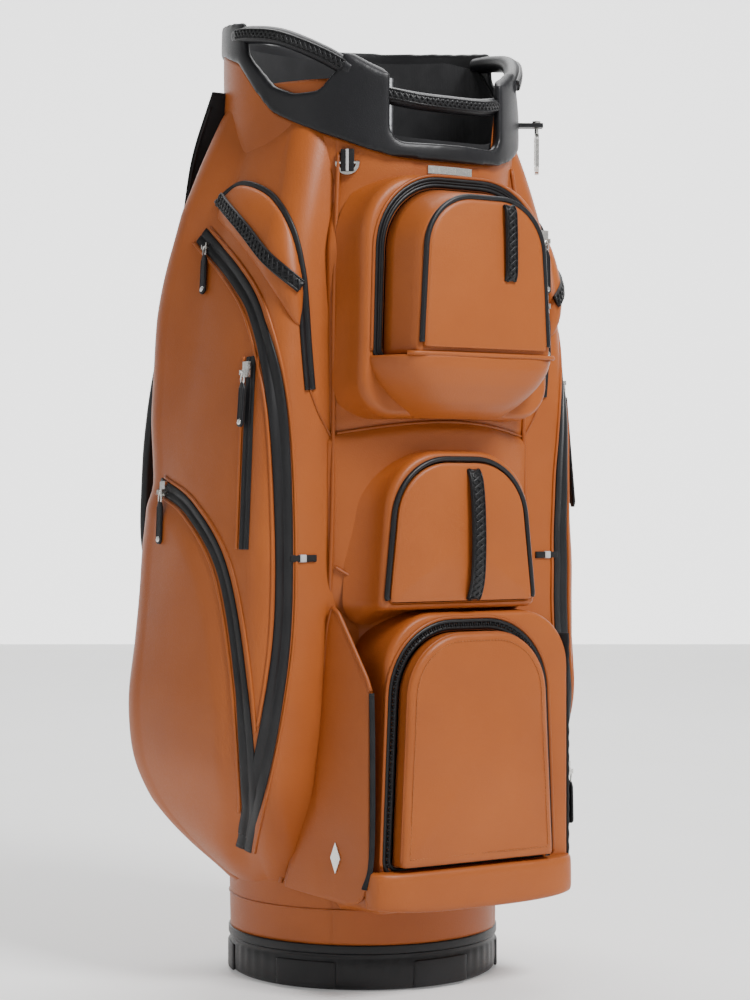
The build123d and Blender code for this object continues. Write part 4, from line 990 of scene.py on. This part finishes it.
piping("top_hinge_welt", [(-79, -196, 574.4), (-72, -202.4, 574.4), (-40, -204.6, 574.4), (0, -205, 574.4),
                          (40, -204.6, 574.4), (72, -202.4, 574.4), (79, -196,
                                                                     574.4)], 2.1, TAN, "tan_leather")
zip_ring("top_zip", TOP_LID, 58.0, 1.5, 11.0, TOP_PLANE - 0.4, ["top_pocket_zip_tape"], keep=573.0,
         toothed=False)
arch_piping("top_zip_piping", TOP_LID, 58.0, 12.2, TOP_PLANE - 0.6, 1.6, TAN_EDGE, "tan_leather", low=575.0)
arch_piping("top_pouch_piping", POUCH, 46.0, 2.0, TOP_FRONT - 1.6, 2.5, BLACK, "black_leather",
            body="top_lid", low=584.0)
pts = [(22, -207.0, 708), (22, -210.4, 703), (22, -211.4, 690), (22, -211.8, 668), (22, -211.6, 648),
       (22, -209.4, 641)]
line = curve_points(pts, 50)
place("top_braid", *braid_strip(line, np.tile([0, -1.0, 0.0], (50, 1)), 13.0, 2.4), BRAID, "top_lid",
      "black_leather", ["top_pocket_braid"])


# ------------------------------------------------------------------ base
base = []
for r0, z in ((96, 0.4), (118, 0.2), (122.6, 0.6), (125.4, 2.2), (127.0, 5.0), (127.2, 12.0), (127.2, 20),
              (127.0, 27.5), (126.2, 29.0),
              (126.2, 31.0), (127.2, 32.0), (127.4, 33.8), (126.6, 34.0), (121.0, 34.0), (120.6, 32.0),
              (120.0, 6.5), (96, 5.9), (4, 5.8)):
    ring = []
    for a in np.linspace(0, TAU, 240, endpoint=False):
        rib = 0.35 * math.cos(a * 60) * (10 < z < 28)
        ring.append(((r0 + rib) * math.sin(a), -(r0 + rib) * math.cos(a), z))
    base.append(np.array(ring))
under_rings = [np.array([(4 * math.sin(a), -4 * math.cos(a), 0.6)
                         for a in np.linspace(0, TAU, 240, endpoint=False)])]
place("base_rubber", *ring_loft(under_rings + base, True, True), RUBBER, slot="black_rubber",
      nodes=["base_cup"])
pads = []
for k in range(6):
    mid = math.radians(60 * k + 2.5)
    rings = []
    for q in np.linspace(-1, 1, 30):
        a = mid + q * math.radians(13.7)
        soft_end = math.sqrt(max(0.0, 1 - abs(q) ** 12)) * 0.9 + 0.1
        prof = rounded(25.0 * (0.86 + 0.14 * soft_end), 2.8 * soft_end, min(1.3, 1.3 * soft_end), 3)
        rings.append(np.array([((127.6 + h) * math.sin(a), -(127.6 + h) * math.cos(a), 14.5 + w) for w,
                               h in prof]))
    pads.append(ring_loft(rings, True, True))
place("base_feet", *merge(pads), PLASTIC, slot="black_plastic", nodes=["base_foot_pads"])
a = np.linspace(0, TAU, 200, endpoint=False)
line = np.stack([127.0 * np.sin(a), -127.0 * np.cos(a), 38 + 0 * a], axis=1)
place("base_binding", *sweep(line, np.stack([np.sin(a), -np.cos(a), 0 * a], axis=1),
                             rounded(8.0, 2.8, 1.3, 4), closed=True), RUBBER, slot="black_rubber",
      nodes=["base_rim_binding"])


# ------------------------------------------------------------------ collar
def evaluated(obj):
    deps = bpy.context.evaluated_depsgraph_get()
    mesh = obj.evaluated_get(deps).to_mesh()
    verts = np.array([v.co for v in mesh.vertices], float)
    faces = [list(p.vertices) for p in mesh.polygons]
    obj.evaluated_get(deps).to_mesh_clear()
    return verts, faces


def softened(node, voxel, smooth, factor=0.6):
    """A remeshed, rounded copy of a CAD node's mesh, in mm."""
    copy = bpy.data.objects.new("work", frame["nodes"][node].data.copy())
    bpy.context.scene.collection.objects.link(copy)
    m = copy.modifiers.new("remesh", "REMESH")
    m.mode = "VOXEL"
    m.voxel_size = voxel * MM
    s = copy.modifiers.new("smooth", "SMOOTH")
    s.iterations = smooth
    s.factor = factor
    bpy.context.view_layer.update()
    verts, faces = evaluated(copy)
    bpy.data.objects.remove(copy)
    return verts * 1000, faces


verts, faces = softened("top_collar", 2.0, 26)
away = unit((verts - np.array([0, COLLAR_Y, 0])) * np.array([1, 1, 0]))
verts = verts + away * soft(verts, 42.0, 0.7)[:, None]
collar = place("collar", verts, faces, BLACK, slot="black_leather", nodes=["top_collar"])


def on_collar(angle, z, skin=0.0):
    """A point on the collar's round wall."""
    a = np.radians(angle)
    r = COLLAR_R + skin
    return np.stack([-r * np.sin(a), COLLAR_Y - r * np.cos(a), z + 0 * a], axis=-1)


# divider
verts, faces = softened("divider_ring", 1.6, 10)
ring_obj = place("divider_padding", verts, faces, FABRIC, slot="black_fabric", nodes=["divider_ring"])
verts, faces = softened("divider_walls", 1.5, 3)
verts[:, 0] += soft(verts, 60.0, 0.5)
place("divider_cloth", verts, faces, FABRIC, slot="black_fabric", nodes=["divider_walls"])


# ------------------------------------------------------------------ grips
def collar_path(stations, inset, count):
    """A line round the collar, let into it by the inset."""
    pts = []
    for angle, z in curve_points(stations, count):
        pts.append(on_collar(angle, z, -inset))
    return np.array(pts)


ARC = np.linspace(0, TAU, 32, endpoint=False)


def wrapped_grip(name, line, normals, radius, core_nodes, node):
    """A padded bar sewn along its inner side, with a laced band let into its face."""
    t = tangents(line)
    up = unit(normals - t * np.sum(normals * t, axis=1, keepdims=True))
    side = np.cross(t, up)
    rings = []
    for k in range(len(line)):
        swell = 1 - 0.1 * abs(2 * k / (len(line) - 1) - 1) ** 8
        rings.append(line[k] + radius * swell * (np.outer(np.cos(ARC), side[k])
                                                 + np.outer(np.sin(ARC), up[k])))
    place(f"{name}_core", *ring_loft(rings, True, True), BLACK, slot="black_leather", nodes=core_nodes)
    place(f"{name}_wrap", *braid_strip(line[5:-5] + up[5:-5] * (radius - 0.9), up[5:-5], 10.5, 2.6, 5.2),
          BRAID, slot="black_leather", nodes=[node])


left_line = collar_path([(40, 832), (51, 848), (68, 866), (84, 874), (97, 877)], 6.0, 90)
out = unit(left_line - np.array([0, COLLAR_Y, 0]) - np.array([0, 0, 1]) * left_line[:, 2:3])
right_line = left_line * np.array([-1, 1, 1])
out_right = out * np.array([-1, 1, 1])
wrapped_grip("left_grip", left_line, out, 8.2, ["grip_cores"], "left_grip")
wrapped_grip("right_grip", right_line, out_right, 8.2, [], "right_grip")
front_line = curve_points([(-66, -126, 812.5), (-34, -142.5, 806), (0, -145.5, 805), (34, -142.5, 806),
                           (66, -126, 812.5)], 80)
wrapped_grip("front_grip", front_line, np.tile([0, -1.0, 0.0], (80, 1)), 8.0, [], "front_grip")


# ------------------------------------------------------------------ strap
STRAP_X, WEB_WIDTH, PAD_WIDTH, PAD_THICK = -124.0, 37.0, 46.0, 11.0
PAD_START, PAD_STOP = int(0.38 * 159), int(0.76 * 159) + 1
strap = curve_points([(70, 138), (112, 156), (140, 205), (160, 290), (174, 360), (177, 435), (163, 530),
                      (122, 640), (98, 720), (79, 775), (40, 830)], 160)
line = np.column_stack([np.full(160, STRAP_X), strap])
tan = tangents(line)
out = np.stack([0 * tan[:, 0], tan[:, 2], -tan[:, 1]], axis=1)
place("shoulder_strap_web", *sweep(line, out, rounded(WEB_WIDTH, 2.8, 1.2, 4)), FABRIC, slot="black_fabric",
      nodes=["shoulder_strap"])
rails = []
for side in (-15.5, 15.5):
    rails.append(sweep(line[3:-3] + np.array([side, 0, 0]), out[3:-3], rounded(3.0, 3.8, 0.9, 3)))
place("shoulder_strap_edges", *merge(rails), BLACK, slot="black_leather")
part = resample(line[PAD_START:PAD_STOP], 90)
part_out = resample(out[PAD_START:PAD_STOP], 90)
rings = []
for k in range(90):
    q = 2 * k / 89 - 1
    fade = max(0.1, 1 - abs(q) ** 9)
    prof = rounded(PAD_WIDTH * (0.82 + 0.18 * fade), PAD_THICK * (0.3 + 0.7 * fade), 4.4 * fade + 0.4, 6)
    rings.append(part[k] + np.outer(prof[:, 0], [1.0, 0, 0]) + np.outer(prof[:, 1], unit(part_out[k])))
verts, faces = ring_loft(rings, True, True)
verts = verts + np.array([0, 1.0, 0]) * soft(verts, 30.0, 0.5)[:, None]
pad_obj = place("shoulder_cushion", verts, faces, BLACK, slot="black_leather", nodes=["shoulder_pad"])


# ------------------------------------------------------------------ hardware
def cad_points(name):
    """A CAD node's points, in mm."""
    return np.array([v.co for v in frame["nodes"][name].data.vertices], float) * 1000


joints = {j["name"]: j for j in frame["joints"]}
for tag in ("left_main", "right_main", "left_lower", "left_small", "right_small", "top_upper", "top_lower",
            "ball_front", "ball_side"):
    joint = joints[f"{tag}_pull_hinge"]
    pin = np.array(joint["pos_m"], float) * 1000
    across = unit(np.array(joint["axis"], float))
    points = cad_points(f"{tag}_pull")
    along = points.mean(axis=0) - pin
    along = unit(along - across * (along @ across))
    up = np.cross(across, along)
    reach = ((points - pin) @ along).max()
    middle = pin + up * np.median((points - pin) @ up)
    tab = []
    for q in np.linspace(0, 1, 26):
        s = 9.0 + (reach - 9.0 - 0.3) * q
        width = 8.6 * min(1.0, 0.45 + 4.0 * q) * (1 - 0.55 * max(0.0, (q - 0.93) / 0.07) ** 2)
        prof = rounded(width, 2.5, 1.0, 3)
        tab.append(middle + along * s + np.outer(prof[:, 0], across) + np.outer(prof[:, 1], up))
    place(f"{tag}_tab", *ring_loft(tab, True, True), BLACK, f"{tag}_pull", "black_leather", [f"{tag}_pull"])
    edge = []
    for side in (-1, 1):
        rail = np.array([middle + along * s + across * side * 3.0 + up * 1.2
                         for s in np.linspace(14, reach - 5, 30)])
        edge.append(sweep(rail, np.tile(up, (30, 1)), circle(0.4, 6)))
    place(f"{tag}_tab_edge", *merge(edge), BRAID, f"{tag}_pull", "black_leather")
    a = np.linspace(0, TAU, 40, endpoint=False)
    loop = np.array([middle + along * (5.4 + 5.4 * math.sin(t)) + across * 2.3 * math.cos(t) for t in a])
    link = sweep(loop, np.tile(up, (40, 1)), circle(0.95, 10), closed=True)
    dome = []
    for r, h in ((2.7, 1.1), (2.7, 1.6), (2.2, 2.0), (1.2, 2.25), (0.3, 2.3)):
        dome.append(np.array([middle + along * (reach - 4.6) + across * r * math.cos(t)
                              + along * r * math.sin(t) + up * h for t in a]))
    place(f"{tag}_link", *merge([link, ring_loft(dome, True, True)]), NICKEL, f"{tag}_pull", "nickel")

carried = {"support_stays": ALLOY, "floor_pad": FABRIC, "zip_sliders": NICKEL, "left_small_slider": NICKEL,
           "ball_side_slider": NICKEL,
           "emblem": NICKEL, "badge_plate": NICKEL, "d_ring": NICKEL, "towel_loop": BLACK,
           "towel_hook": NICKEL,
           "towel_hook_gate": NICKEL}
for name, o in frame["nodes"].items():
    mat = carried.get(name, PLASTIC)
    o.data.materials.clear()
    o.data.materials.append(mat)
    o.data.shade_smooth()
    o.data.set_sharp_from_angle(angle=math.radians(32))

points = cad_points("d_ring_tab")
centre = points.mean(axis=0)
spread = unit(np.array([centre[0], centre[1] - tube_y(centre[2]), 0.0]))
line = np.array([centre + np.array([0, 0, z]) + spread * 0.2 for z in np.linspace(-10, 10, 30)])
place("d_ring_webbing", *sweep(line, np.tile(spread, (30, 1)), rounded(12.0, 5.0, 1.2, 4)), FABRIC,
      slot="black_fabric", nodes=["d_ring_tab"])
place("d_ring_webbing_stripe", *sweep(line, np.tile(spread, (30, 1)), rounded(3.6, 5.5, 1.2, 4)), STRIPE,
      slot="black_fabric")


# ------------------------------------------------------------------ floor, light
def floor():
    """The paper floor, curving up at the back."""
    mesh = bpy.data.meshes.new("floor")
    rings = []
    for r, z in ((0.02, 0.0), (1.0, 0.0), (3.0, 0.0), (6.0, 0.0), (9.0, 0.2), (11.0, 1.2), (12.0, 3.5),
                 (12.0, 7.0)):
        rings.append(np.array([(r * math.cos(a), r * math.sin(a), z - 0.0004)
                               for a in np.linspace(0, TAU, 96, endpoint=False)]))
    verts, faces = ring_loft(rings, True, False)
    mesh.from_pydata([tuple(v) for v in verts], [], [tuple(f) for f in faces])
    mesh.shade_smooth()
    obj = bpy.data.objects.new("floor", mesh)
    bpy.context.scene.collection.objects.link(obj)
    m, tree, b = material("floor_paper", (0.78, 0.78, 0.77), 0.75)
    tone = remap(tree, noise(tree, object_coords(tree), 3.0, 2.0), 0.3, 0.7, 0.0, 1.0)
    tree.links.new(blend_colors(tree, tone, (0.77, 0.77, 0.76), (0.79, 0.79, 0.785)), b.inputs["Base Color"])
    b.inputs["Emission Color"].default_value = (1, 1, 1, 1)
    b.inputs["Emission Strength"].default_value = 0.2
    mesh.materials.append(m)


def lamp(name, place_at, target, size, power, color=(1, 1, 1)):
    """An area lamp aimed at a point."""
    data = bpy.data.lights.new(name, "AREA")
    data.shape = "RECTANGLE"
    data.size, data.size_y = size
    data.energy = power
    data.color = color
    obj = bpy.data.objects.new(name, data)
    bpy.context.scene.collection.objects.link(obj)
    obj.location = place_at
    obj.rotation_euler = (Vector(target) - Vector(place_at)).to_track_quat("-Z", "Y").to_euler()


def backdrop():
    """A white paper wall behind the bag."""
    mesh = bpy.data.meshes.new("backdrop")
    rows = []
    for z in np.linspace(-0.3, 4.0, 12):
        rows.append(np.array([(*(AHEAD[:2] * (5.0 + 0.15 * z) + RIGHT[:2] * x), z)
                              for x in np.linspace(-6, 6, 24)]))
    verts, faces = ring_loft(rows, closed=False)
    mesh.from_pydata([tuple(v) for v in verts], [], [tuple(f) for f in faces])
    obj = bpy.data.objects.new("backdrop", mesh)
    bpy.context.scene.collection.objects.link(obj)
    m, tree, b = material("backdrop_paper", (0.9, 0.9, 0.9), 0.8)
    tone = remap(tree, noise(tree, object_coords(tree), 1.0, 2.0), 0.3, 0.7, 0.0, 1.0)
    tree.links.new(blend_colors(tree, tone, (0.89, 0.89, 0.89), (0.9, 0.9, 0.9)), b.inputs["Base Color"])
    b.inputs["Emission Color"].default_value = (1, 1, 1, 1)
    b.inputs["Emission Strength"].default_value = 1.5
    mesh.materials.append(m)


floor()
backdrop()
world = bpy.data.worlds.new("studio")
world.use_nodes = True
world.node_tree.nodes["Background"].inputs["Color"].default_value = (1.0, 1.0, 1.0, 1)
world.node_tree.nodes["Background"].inputs["Strength"].default_value = 0.2
bpy.context.scene.world = world
key = Vector(RIGHT * 1.5 - AHEAD * 1.6) + Vector((0, 0, 2.7))
fill = Vector(-RIGHT * 2.2 - AHEAD * 1.4) + Vector((0, 0, 1.2))
lamp("key", key, (0, 0, 0.5), (0.9, 0.9), 130.0)
lamp("fill", fill, (0, 0, 0.45), (1.6, 1.6), 6.0)
lamp("floor_wash", Vector((0, 0, 3.4)) + Vector(AHEAD * 2.0), Vector(AHEAD * 2.0), (3.0, 3.0), 160.0)
